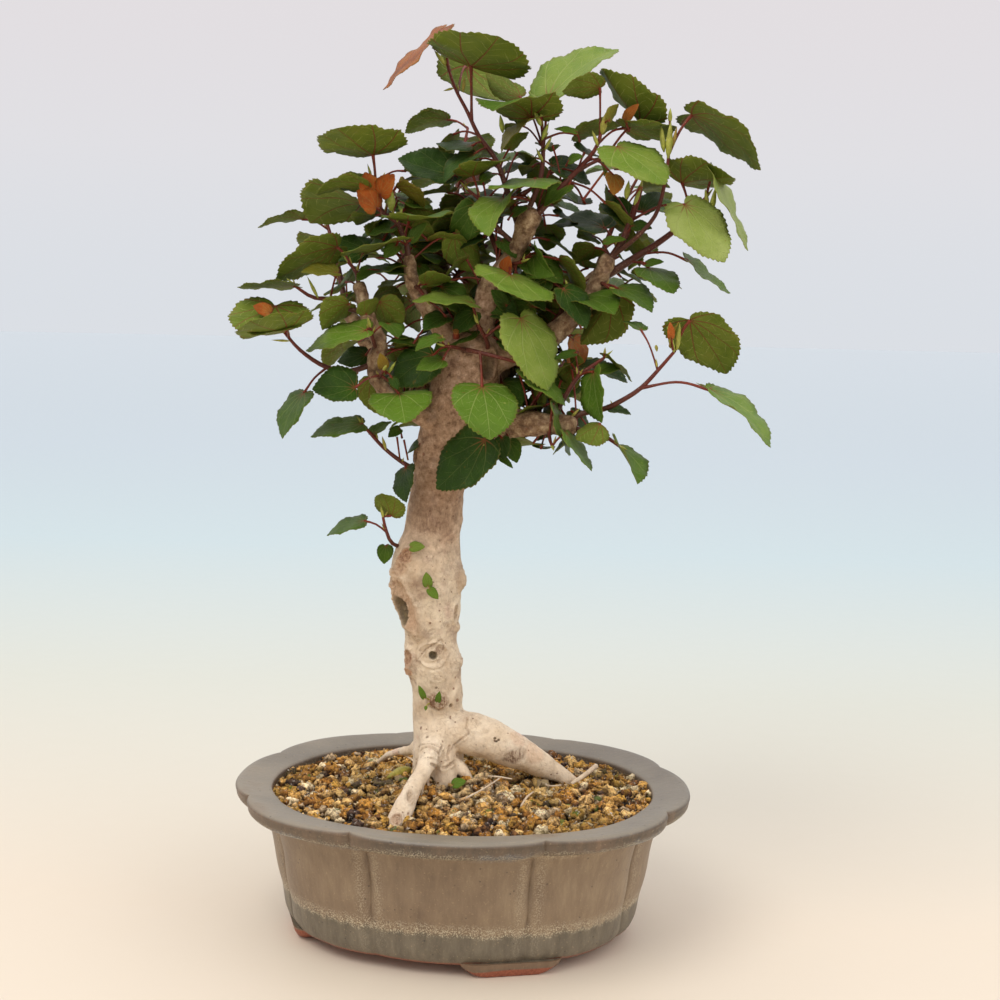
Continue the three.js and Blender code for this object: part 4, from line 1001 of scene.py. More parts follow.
def makeTrunk():
    lines = [(radii, seenLine(points)) for radii, points in trunkLines.values()]
    lines[0][1][0].z = 0.058  # the stem ends inside the soil
    made = layWood("trunkAndRoots", lines, trunk["step"], trunk["sides"], 0.82)
    remesh = made.modifiers.new("joinWood", "REMESH")
    remesh.mode = "VOXEL"
    remesh.voxel_size = trunk["voxel"]
    smooth = made.modifiers.new("softenWood", "SMOOTH")
    smooth.factor = 0.6
    smooth.iterations = trunk["smoothing"]
    mesh = bakeShape(made).data
    surface = surfaceOf(mesh)
    spots = []
    for mark in barkMarks:
        if mark["rim"] or mark["hole"]:
            reach = 1.5 * max(mark["across"], mark["along"]) + 0.001
            spots.append((spotOn(surface, mark["column"], mark["row"])[0], reach))
    for line, _, _ in barkFolds:
        spots += [(spotOn(surface, *point)[0], 0.0035) for point in line]
    refineAt(mesh, spots)
    surface = surfaceOf(mesh)
    places, normals, _ = surface
    push = noiseOver(places, 0.024) * trunk["swells"] + noiseOver(places, 0.008, 3) * trunk["lumps"]
    push += noiseOver(places, 0.0028, 7) * trunk["wrinkles"]
    stemLine, _ = smoothLine(seenLine(trunkLines["stem"][1]), 0.008)
    away = np.linalg.norm(places[:, None, :] - np.array(stemLine)[None], axis=2).min(1)
    branchShare = softStep(away, 0.020, 0.028) * (places[:, 2] > 0.12)
    push += noiseOver(places, 0.0036, 11) * trunk["branchRoughness"] * branchShare
    marks = {name: np.zeros(len(places)) for name in ("dark", "raw", "stain")}
    markBark(surface, marks, push)
    foldBark(surface, marks, push)
    mesh.vertices.foreach_set("co", (places + normals * push[:, None]).ravel())
    marks.update(root=softStep(places[:, 2], *trunk["rootFade"]), twig=branchShare)
    for name, values in marks.items():
        setValues(mesh, name, values)
    mesh.update()
    mesh.shade_smooth()
    mesh.materials.clear()
    mesh.materials.append(bark)
    seat(made, "bark", "trunk")
    return made


def barkFinish():
    # pinkish tan bark with pores, fine cracks and greyer blotches, creamier roots, rough darker branches, and
    # a browner upper trunk that is partly painted shade under the crown
    tree, place, feed = newFinish("paleBark", 0.75)
    root, twig, dark, raw, stain = (
        attributeOf(tree, name) for name in ("root", "twig", "dark", "raw", "stain"))
    broad = noiseOf(place, 55, 4)
    fibres = noiseOf(vectorMaths("MULTIPLY", place, (1, 1, 0.4)), 620, 6, 0.75)
    mottle = noiseOf(place, 240, 6, 0.7)
    color = ramp(
        broad, (0.30, 198, 172, 140), (0.45, 216, 194, 164), (0.58, 228, 210, 181), (0.75, 214, 186, 162))
    # higher up the trunk: browner bark that also holds painted shade from the crown above
    pinker = ramp(mottle, (0.32, 118, 86, 62), (0.5, 168, 134, 104), (0.68, 200, 168, 142))
    color = mix(fade(scaled(broad, 0.05, axes(place)["Z"]), 0.205, 0.262), color, pinker)
    color = mix(root, color, ramp(
        broad, (0.3, 212, 188, 155), (0.5, 227, 206, 176), (0.62, 236, 218, 190), (0.75, 224, 188, 166)))
    color = mix(twig, color, ramp(
        mottle, (0.3, 82, 60, 42), (0.46, 128, 98, 70), (0.58, 168, 140, 106), (0.72, 204, 182, 148)))
    shade = ramp(
        mottle, (0.3, 0.70, 0.66, 0.60), (0.46, 0.97, 0.96, 0.95), (0.66, 1.12, 1.12, 1.1), shown=False)
    color = mix(0.85, color, shade, "MULTIPLY")
    warp = vectorMaths("MULTIPLY", noiseOf(place, 300, 3, 0.5, "Color"), (0.004, 0.004, 0.004))
    warped = vectorMaths("MULTIPLY", vectorMaths("ADD", place, warp), (1, 1, 1.5))
    cells = cellsOf(warped, 300, "DISTANCE_TO_EDGE")["Distance"]
    crackle = times(fade(cells, 0.07, 0.0), fade(noiseOf(place, 120, 3), 0.46, 0.62))
    color = laid(color, crackle, 0.24, (160, 124, 92))
    threads = fade(fibres, 0.54, 0.66)
    color = laid(color, threads, 0.22, (166, 134, 104))
    greyed = times(fade(noiseOf(place, 85, 5, 0.7), 0.54, 0.64), 0.5)
    color = mix(times(greyed, minus(1.0, root)), color, paint(156, 128, 108))
    poreMasks = []
    for scale, offset in ((165, -0.09), (330, -0.10)):
        pores = cellsOf(place, scale)
        size = scaled(axes(pores["Color"])["X"], 0.26, offset)
        poreMasks.append(fade(minus(pores["Distance"], size), 0.05, -0.03))
    pores = maths("MAXIMUM", *poreMasks)
    color = mix(times(pores, 0.75), color, ramp(mottle, (0.4, 104, 62, 40), (0.6, 150, 104, 78)))
    # real brown stains on the bark, and painted shade in the folds' grooves
    stainColor = ramp(fibres, (0.35, 92, 62, 40), (0.5, 134, 102, 76), (0.65, 168, 138, 108))
    color = mix(times(stain, scaled(fade(fibres, 0.62, 0.40), 0.65, 0.35)), color, stainColor)
    color = mix(times(raw, 0.7), color, ramp(fibres, (0.3, 176, 124, 84), (0.6, 220, 172, 132)))
    color = mix(dark, color, ramp(mottle, (0.35, 50, 40, 24), (0.65, 112, 98, 62)))
    relief = scaled(pores, -0.6, scaled(fibres, 0.8, mottle))
    relief = scaled(crackle, -0.3, plus(relief, times(threads, -0.35)))
    rough = scaled(broad, 0.25, 0.6)
    return feed({"Base Color": color, "Roughness": rough, "Normal": bump(relief, 0.75, 0.0011)})


litterLines = {  # on the soil: radii along a line of (column, row) and a height over the soil's edge
    "paleTwig": ([0.0010, 0.0013, 0.0015], [(571, 784, 0.004), (583, 776, 0.007), (596, 766, 0.009)]),
    "leftRootlet": ([0.0007, 0.0005, 0.0003], [(417, 763, 0.014), (408, 757, 0.011), (399, 751, 0.009)]),
    "frontRootlet": ([0.0009, 0.0007, 0.0005], [(430, 772, 0.012), (428, 783, 0.009), (431, 794, 0.005)]),
    "thinRootlet": ([0.0005, 0.0004, 0.0003], [(424, 780, 0.012), (423, 789, 0.008), (421, 797, 0.005)]),
    "longStraw": ([0.0004, 0.0005, 0.0004], [(466, 798, 0.009), (483, 789, 0.010), (500, 778, 0.010)]),
    "crossStraw": ([0.0003, 0.0005, 0.0003], [(488, 776, 0.011), (500, 777, 0.011), (512, 779, 0.010)]),
    "bentStraw": ([0.0005, 0.0006, 0.0004], [(521, 806, 0.007), (527, 797, 0.008), (533, 792, 0.008)]),
    "lowStraw": ([0.0003, 0.0004, 0.0003], [(546, 785, 0.007), (553, 786, 0.008), (561, 785, 0.007)]),
}


def onSoil(column, row, lift):
    # where the front view meets a level just over the soil's edge
    start = frontEye + potMiddle
    ray = seen(column, row, 0) - start
    return start + ray * ((soil["top"] + lift - start.z) / ray.z)


def makeLitter():
    lines = [(radii, [onSoil(*point) for point in points]) for radii, points in litterLines.values()]
    made = layWood("twigsAndRootlets", lines, 0.0015, 7, 1)
    setValues(made.data, "root", np.full(len(made.data.vertices), 0.3))
    made.data.shade_smooth()
    seat(made, "bark")


bark = barkFinish()
woodNodes = thickenTree()
woodSurface = surfaceOf(makeTrunk().data)
makeLitter()

# Leafy shoots

blades = {  # outlines of half a blade as long as 1, from its foot to its tip
    "broad": {
        "outline": [
            (0, -0.01), (0.07, -0.085), (0.17, -0.12), (0.28, -0.11), (0.385, -0.05), (0.455, 0.05),
            (0.495, 0.18), (0.5, 0.33), (0.475, 0.48), (0.42, 0.62), (0.335, 0.745), (0.23, 0.85),
            (0.12, 0.93), (0.04, 0.98), (0, 1)],
        "rows": 63, "columns": 4, "teeth": 21, "toothDepth": 0.026,
    },
    "narrow": {
        "outline": [
            (0, -0.01), (0.08, -0.06), (0.2, -0.08), (0.34, -0.03), (0.43, 0.08), (0.48, 0.24), (0.48, 0.4),
            (0.43, 0.56), (0.335, 0.71), (0.21, 0.84), (0.09, 0.94), (0.02, 0.985), (0, 1)],
        "rows": 45, "columns": 3, "teeth": 15, "toothDepth": 0.026,
    },
    "inner": {
        "outline": [
            (0, -0.01), (0.15, -0.09), (0.34, -0.05), (0.46, 0.1), (0.5, 0.3), (0.46, 0.5), (0.35, 0.7),
            (0.2, 0.86), (0.07, 0.96), (0, 1)],
        "rows": 20, "columns": 2, "teeth": 10, "toothDepth": 0.030,
    },
    "young": {
        "outline": [(0, -0.01), (0.20, -0.05), (0.42, 0.08), (0.47, 0.26), (0.36, 0.52), (0.17, 0.8), (0, 1)],
        "rows": 8, "columns": 1, "teeth": 0, "toothDepth": 0,
    },
}
leafForm = {
    "thickness": 0.00036,
    "bow": (0.18, 0.22),  # fold along the middle vein by the width, arch by the length
    "waves": 0.055,
    "edgeRuffle": 0.008,
    "stemGirth": 0.66,  # share of the stems' listed radii
    "broadFrom": 0.028,  # blades longer than this have the broad outline
    "youngTo": 0.0125,
}
bladeKind = {name: number for number, name in enumerate([*blades, "pod"])}


def makeBlade(name, blade):
    # a flat blade of two skins joined round the edge; plan holds x, y and the share of the way to the edge
    line, shares = smoothLine([Vector((x, y, 0)) for x, y in blade["outline"]], 0.002)
    rows = blade["rows"]
    columns = blade["columns"]
    wanted = np.linspace(0, 1, rows + 1)
    edge = np.stack([np.interp(wanted, shares, [place[k] for place in line]) for k in range(2)], 1)
    ahead = np.gradient(edge, axis=0)
    outward = np.stack([ahead[:, 1], -ahead[:, 0]], 1)
    outward /= np.linalg.norm(outward, axis=1)[:, None]
    if blade["teeth"]:
        phase = (wanted * blade["teeth"]) % 1
        tooth = np.where(phase < 0.7, phase / 0.7, (1 - phase) / 0.3) - 0.4
        tooth *= softStep(wanted, 0.08, 0.16) * softStep(wanted, 1.0, 0.93)
        edge += outward * (tooth * blade["toothDepth"])[:, None]
    edge[0] = (0, blade["outline"][0][1])
    edge[-1] = (0, 1)
    corners = {}
    plan = []
    skins = []

    def corner(skin, side, row, column):
        if row == rows:
            column = columns
        if row in (0, rows) or column == 0:
            side = 0
        key = (skin, side, row, column)
        if key not in corners:
            reach = column / columns
            middle = np.array([0, (row / rows) ** 1.6])
            spot = middle + (edge[row] - middle) * reach ** 0.85
            corners[key] = len(plan)
            plan.append((spot[0] * side, spot[1], reach))
            skins.append(skin)
        return corners[key]

    faces = []
    for skin in (0, 1):
        for side in (1, -1):
            for row in range(rows):
                for column in range(columns):
                    face = [corner(skin, side, row, column), corner(skin, side, row, column + 1),
                            corner(skin, side, row + 1, column + 1), corner(skin, side, row + 1, column)]
                    face = list(dict.fromkeys(face))
                    if (side > 0) != (skin == 0):
                        face.reverse()
                    if len(face) > 2:
                        faces.append(face)
    for side in (1, -1):
        for row in range(rows):
            face = [corner(0, side, row, columns), corner(1, side, row, columns),
                    corner(1, side, row + 1, columns), corner(0, side, row + 1, columns)]
            if side < 0:
                face.reverse()
            faces.append(face)
    vertices = [(x, y, 0.001 - 0.002 * skin) for (x, y, _), skin in zip(plan, skins)]
    made = newObject(name + "Blade", vertices, faces)
    setValues(made.data, "plan", plan, "FLOAT_VECTOR")
    setValues(made.data, "skin", skins)
    return made


def makePod():
    # a pointed bud or stipule, its length along Y
    sides = 6
    rings = [(0.10, 0.0), (0.34, 0.18), (0.42, 0.42), (0.26, 0.72)]
    plan = [(0, -0.02, 0)]
    for radius, reach in rings:
        for k in range(sides):
            turn = math.tau * k / sides
            plan.append((radius * math.cos(turn), reach, radius * 0.7 * math.sin(turn)))
    plan.append((0, 1, 0))
    last = len(plan) - 1
    faces = []
    for k in range(sides):
        m = (k + 1) % sides
        faces.append((0, 1 + k, 1 + m))
        for ring in range(len(rings) - 1):
            low = 1 + ring * sides
            faces.append((low + m, low + k, low + sides + k, low + sides + m))
        top = 1 + (len(rings) - 1) * sides
        faces.append((top + m, top + k, last))
    made = newObject("budPod", plan, faces)
    setValues(made.data, "plan", plan, "FLOAT_VECTOR")
    return made


def shootTree():
    # stems and stalks thickened by their girth, with a blade or pod bent into shape at every leaf point
    tree, entry, exits = newGroup("growShoot", "GeometryNodeTree", {
        "Shoot": "Geometry", **dict.fromkeys(templates, "Object"), "Thickness": "Float", "Waves": "Float",
        "Ruffle": "Float", "Stem Sides": "Int", "Leaf Finish": "Material", "Stem Finish": "Material"},
        {"Shoot": "Geometry"})
    leafy = maths("GREATER_THAN", stored(tree, "leafy"), 0.5)
    inputs = {"Geometry": entry["Shoot"], "Selection": leafy}
    parted = addNode(tree, "GeometryNodeSeparateGeometry", inputs, domain="POINT")
    kind = stored(tree, "kind")
    placed = []
    for number, label in enumerate(templates):
        inputs = {"Object": entry[label], "As Instance": True}
        thing = addNode(tree, "GeometryNodeObjectInfo", inputs)["Geometry"]
        inputs = {0: kind, 1: float(number), "Epsilon": 0.1}
        chosen = addNode(tree, "FunctionNodeCompare", inputs, data_type="FLOAT", operation="EQUAL")[0]
        inputs = {"Points": parted["Selection"], "Selection": chosen, "Instance": thing}
        placed.append(addNode(tree, "GeometryNodeInstanceOnPoints", inputs)[0])
    along, side, base, bow, plan = (
        stored(tree, name, "FLOAT_VECTOR") for name in ("along", "side", "base", "bow", "plan"))
    length, wide, phase, skin, curl = (
        stored(tree, name) for name in ("bladeLength", "bladeWidth", "phase", "skin", "curl"))
    face = vectorMaths("CROSS_PRODUCT", side, along)
    bow = axes(bow)
    plan = axes(plan)
    across = maths("ABSOLUTE", plan[0])

    def product(*values):
        result = values[0]
        for value in values[1:]:
            result = times(result, value)
        return result

    def moved(geometry, x, y, z):
        # a realized geometry moved to steps along a blade's own three ways
        place = base
        for direction, amount in ((side, x), (along, y), (face, z)):
            inputs = {0: direction, "Scale": amount}
            step = addNode(tree, "ShaderNodeVectorMath", inputs, operation="SCALE")[0]
            place = vectorMaths("ADD", place, step)
        return stepOf("SetPosition", stepOf("RealizeInstances", geometry), {"Position": place})

    wave = maths("SINE", scaled(plan[1], 11.0, scaled(plan[0], 4.0, phase)))
    ripple = maths("SINE", scaled(plan[1], 31.0, scaled(phase, 5.0, plan[0])))
    lift = product(bow[0], wide, across)
    for value in (
            product(bow[1], length, plan[1], minus(1.0, plan[1])),
            product(entry["Waves"], length, across, wave),
            product(entry["Ruffle"], length, maths("POWER", plan[2], 3.0), ripple),
            product(entry["Thickness"], scaled(skin, -1.0, 0.5), scaled(plan[2], -0.5, 1.0)),
            product(curl, length, fade(plan[1], 0.55, 1.1))):
        lift = plus(lift, value)
    right = times(plan[0], wide)
    ahead = times(plan[1], length)
    leaves = moved(joined(placed[:4]), right, ahead, lift)
    leaves = stepOf("SetMaterial", leaves, {"Material": entry["Leaf Finish"]})
    pods = moved(placed[4], right, ahead, times(plan[2], wide))
    stems = stepOf("SetShadeSmooth", tubesAlong(parted["Inverted"], entry["Stem Sides"]))
    stems = stepOf("SetMaterial", joined([stems, pods]), {"Material": entry["Stem Finish"]})
    setSocket(exits[0], joined([leaves, stems]))
    return tree


def veinsGroup():
    # the hand-shaped veins of a heart-shaped leaf, from its plan: main, side and net
    tree, entry, exits = newGroup("leafVeins", "ShaderNodeTree", {
        "Plan": "Vector", "Main Width": "Float", "Side Spacing": "Float", "Side Width": "Float",
        "Net Scale": "Float"}, {"Main": "Float", "Side": "Float", "Net": "Float", "Reach": "Float"})
    plan = axes(entry["Plan"])
    across = maths("ABSOLUTE", plan[0])
    reach = maths("SQRT", scaled(across, across, times(plan[1], plan[1])))
    angle = maths("ARCTAN2", across, plan[1])
    nearest = None
    for vein in (0.0, 0.55, 1.15, 1.9):
        aside = times(minus(angle, scaled(reach, -0.34 * vein, vein)), reach)
        off = maths("ABSOLUTE", aside)
        if nearest is None:
            nearest, beside = off, aside
        else:
            beside = scaled(maths("LESS_THAN", off, nearest), minus(aside, beside), beside)
            nearest = maths("MINIMUM", nearest, off)
    width = times(entry["Main Width"], scaled(reach, -0.75, 1.15))
    main = fade(nearest, width, times(width, 0.35))
    # side veins leave a main vein by turns to its left and right, and fade before they meet the next one's
    lean = scaled(times(nearest, nearest), 1.6, times(nearest, -1.1))
    wander = times(noiseOf(entry["Plan"], 7, 2), 0.06)
    steps = maths("DIVIDE", plus(plus(lean, wander), reach), entry["Side Spacing"])
    turns = times(maths("GREATER_THAN", beside, 0.0), 0.45)
    offset = maths("ABSOLUTE", minus(maths("FRACT", plus(steps, turns)), 0.5))
    gap = times(minus(0.5, offset), entry["Side Spacing"])
    sideVein = times(fade(gap, entry["Side Width"], times(entry["Side Width"], 0.3)), fade(reach, 0.10, 0.22))
    sideVein = times(sideVein, fade(nearest, 0.17, 0.07))
    net = fade(cellsOf(entry["Plan"], entry["Net Scale"], "DISTANCE_TO_EDGE")["Distance"], 0.10, 0.01)
    for output, value in (("Main", main), ("Side", sideVein), ("Net", net), ("Reach", reach)):
        setSocket(exits[output], value)
    return tree


def leafFinish():
    # green blades by tone, bronze when young; veins a little lighter above, red-brown and light green below
    tree, place, feed = newFinish("hibiscusLeaf", 0.45, gloss=0.17)
    plan = attributeOf(tree, "plan", "Vector")
    veins = addNode(tree, "ShaderNodeGroup", {
        "Plan": plan, "Main Width": 0.014, "Side Spacing": 0.15, "Side Width": 0.008, "Net Scale": 24.0},
        node_tree=veinsGroup())
    skin = attributeOf(tree, "skin")
    patchy = noiseOf(place, 85, 4, 0.6)
    # tone gives each leaf its own green together with its painted light, shade and sheen
    tone = scaled(minus(patchy, 0.5), 0.35, maths("DIVIDE", attributeOf(tree, "tone"), 1.1))
    green = ramp(tone, (0.05, 38, 58, 18), (0.2, 50, 76, 22), (0.42, 74, 102, 30), (0.64, 94, 124, 38),
                 (0.82, 126, 144, 60), (1.0, 158, 170, 96))
    bronze = ramp(patchy, (0.3, 136, 66, 28), (0.55, 178, 88, 36), (0.8, 190, 122, 56))
    above = mix(attributeOf(tree, "young"), green, bronze)
    veinPale = mix(maths("MULTIPLY_ADD", tone, 0.75, 0.06, clamp=True), above, paint(158, 172, 96))
    for name, share in (("Net", 0.16), ("Side", 0.7), ("Main", 0.9)):
        above = mix(times(veins[name], share), above, veinPale)
    rosy = times(veins["Main"], fade(veins["Reach"], 0.30, 0.03))
    above = laid(above, rosy, 0.7, (128, 62, 40))
    below = mix(0.7, above, ramp(patchy, (0.3, 98, 110, 36), (0.55, 116, 126, 48), (0.75, 128, 126, 54)))
    below = laid(below, veins["Side"], 0.65, (154, 160, 84))
    below = laid(below, veins["Main"], 0.8, (124, 66, 44))
    color = mix(skin, above, below)
    color = laid(color, fade(noiseOf(place, 420, 2, 0.5), 0.70, 0.75), 0.5, (116, 92, 44))
    color = laid(color, fade(noiseOf(place, 300, 2, 0.5), 0.27, 0.23), 0.5, (168, 172, 90))
    color = laid(color, fade(axes(plan)[2], 0.92, 1.0), 0.3, (148, 128, 66))
    rough = scaled(noiseOf(place, 900, 3, 0.6), 0.2, scaled(skin, 0.2, 0.34))
    relief = scaled(veins["Side"], -0.7, times(veins["Main"], -1.0))
    relief = scaled(patchy, 0.8, scaled(veins["Net"], -0.3, relief))
    return feed({"Base Color": color, "Roughness": rough, "Normal": bump(relief, 0.6, 0.0007)})


def stemFinish():
    # yellow-green buds, red-brown stalks and browner stems with pale specks
    tree, place, feed = newFinish("redBrownStem", 0.5, gloss=0.3)
    fine = noiseOf(place, 600, 4, 0.65)
    color = ramp(attributeOf(tree, "ripe"), (0.0, 158, 168, 74), (0.2, 156, 132, 62), (0.45, 132, 56, 36),
                 (0.7, 96, 44, 34), (1.0, 86, 58, 46))
    shade = ramp(fine, (0.3, 0.66, 0.66, 0.66), (0.55, 1, 1, 1), (0.75, 1.4, 1.35, 1.3), shown=False)
    color = mix(1.0, color, shade, "MULTIPLY")
    color = laid(color, fade(noiseOf(place, 1300, 2, 0.5), 0.64, 0.70), 0.5, (176, 148, 118))
    rough = scaled(fine, 0.3, 0.35)
    return feed({"Base Color": color, "Roughness": rough, "Normal": bump(fine, 0.35, 0.0004)})


# A sprig gathers points: those along its stems and stalks, and one at the foot of each blade or pod

pointValues = {
    "girth": 0, "ripe": 0, "leafy": 0, "kind": 0, "along": (0, 0, 1), "side": (1, 0, 0), "bladeLength": 0,
    "bladeWidth": 0, "tone": 0.5, "young": 0, "phase": 0, "curl": 0, "bow": (0, 0, 0),
}


def newSprig():
    return {key: [] for key in ("place", "edge", *pointValues)}


def addPoint(sprig, place, **values):
    sprig["place"].append(tuple(place))
    for key, standard in pointValues.items():
        value = values.get(key, standard)
        sprig[key].append(tuple(value) if isinstance(standard, tuple) else value)
    return len(sprig["place"]) - 1


def addLine(sprig, points, radii, ripeStart, ripeEnd, step=0.004):
    line, shares = smoothLine(points, step)
    before = None
    for place, share, girth in zip(line, shares, girthAt(shares, points, radii)):
        here = addPoint(sprig, place, girth=girth, ripe=ripeStart + (ripeEnd - ripeStart) * share)
        if before is not None:
            sprig["edge"].append((before, here))
        before = here
    return line


def bladeTurn(base, tip, roll):
    # the ways along a blade and to its right side
    along = (tip - base).normalized()
    side = along.cross(up)
    side = side.normalized() if side.length > 1e-4 else Vector((1, 0, 0))
    return along, Matrix.Rotation(math.radians(roll), 3, along) @ side


def addBlade(sprig, base, tip, wide, roll, tone, young=0, kind=None, facing=None, bow=None):
    length = (tip - base).length
    along, side = bladeTurn(base, tip, roll)
    if facing:
        side = along.cross(facing).normalized()
    if kind is None:
        kind = "narrow" if length > leafForm["youngTo"] else "inner"
        kind = "broad" if length > leafForm["broadFrom"] else kind
    chance = random.Random(round(base.x * 1e5) + round(tip.z * 1e5))
    addPoint(sprig, base, leafy=1, kind=bladeKind[kind], along=along, side=side, bladeLength=length,
             bladeWidth=wide, tone=tone + chance.uniform(-0.05, 0.05), young=young,
             phase=chance.uniform(-0.6, 0.6), curl=chance.uniform(-0.05, 0.02),
             bow=(*(bow or leafForm["bow"]), 0))


def addPod(sprig, base, tip, wide, ripe=0.05):
    length = (tip - base).length
    along, side = bladeTurn(base, tip, 0)
    addPoint(sprig, base, leafy=1, kind=bladeKind["pod"], along=along, side=side, bladeLength=length,
             bladeWidth=wide * length, ripe=ripe)


def addStipule(sprig, start, away):
    addPod(sprig, start + away * 0.0008, start + away * 0.003 + up * 0.0035, 0.34, 0.12)


def addStalk(sprig, start, base, length):
    # a leaf stalk that leaves the stem, lifts a little and swells at both ends
    middle = start.lerp(base, 0.55) + up * 0.1 * (base - start).length
    thin = 0.00040 + 0.0065 * length
    addLine(sprig, [start, middle, base], [thin * 1.5, thin, thin, thin, thin * 1.4], 0.7, 0.5, 0.003)


def addStem(sprig, places, radii):
    girths = [radius * leafForm["stemGirth"] for radius in radii]
    return addLine(sprig, places, girths, 1.0, 0.6)


def growSprig(name, sprig, *nodes):
    made = newObject(name, sprig["place"], [], sprig["edge"])
    for key, standard in pointValues.items():
        setValues(made.data, key, sprig[key], "FLOAT_VECTOR" if isinstance(standard, tuple) else "FLOAT")
    setValues(made.data, "base", sprig["place"], "FLOAT_VECTOR")
    growWith(made, shootNodes, {
        **templates, "Thickness": leafForm["thickness"], "Waves": leafForm["waves"],
        "Ruffle": leafForm["edgeRuffle"], "Stem Sides": 8, "Leaf Finish": greenBlade, "Stem Finish": redStem})
    seat(made, "foliage", *nodes)
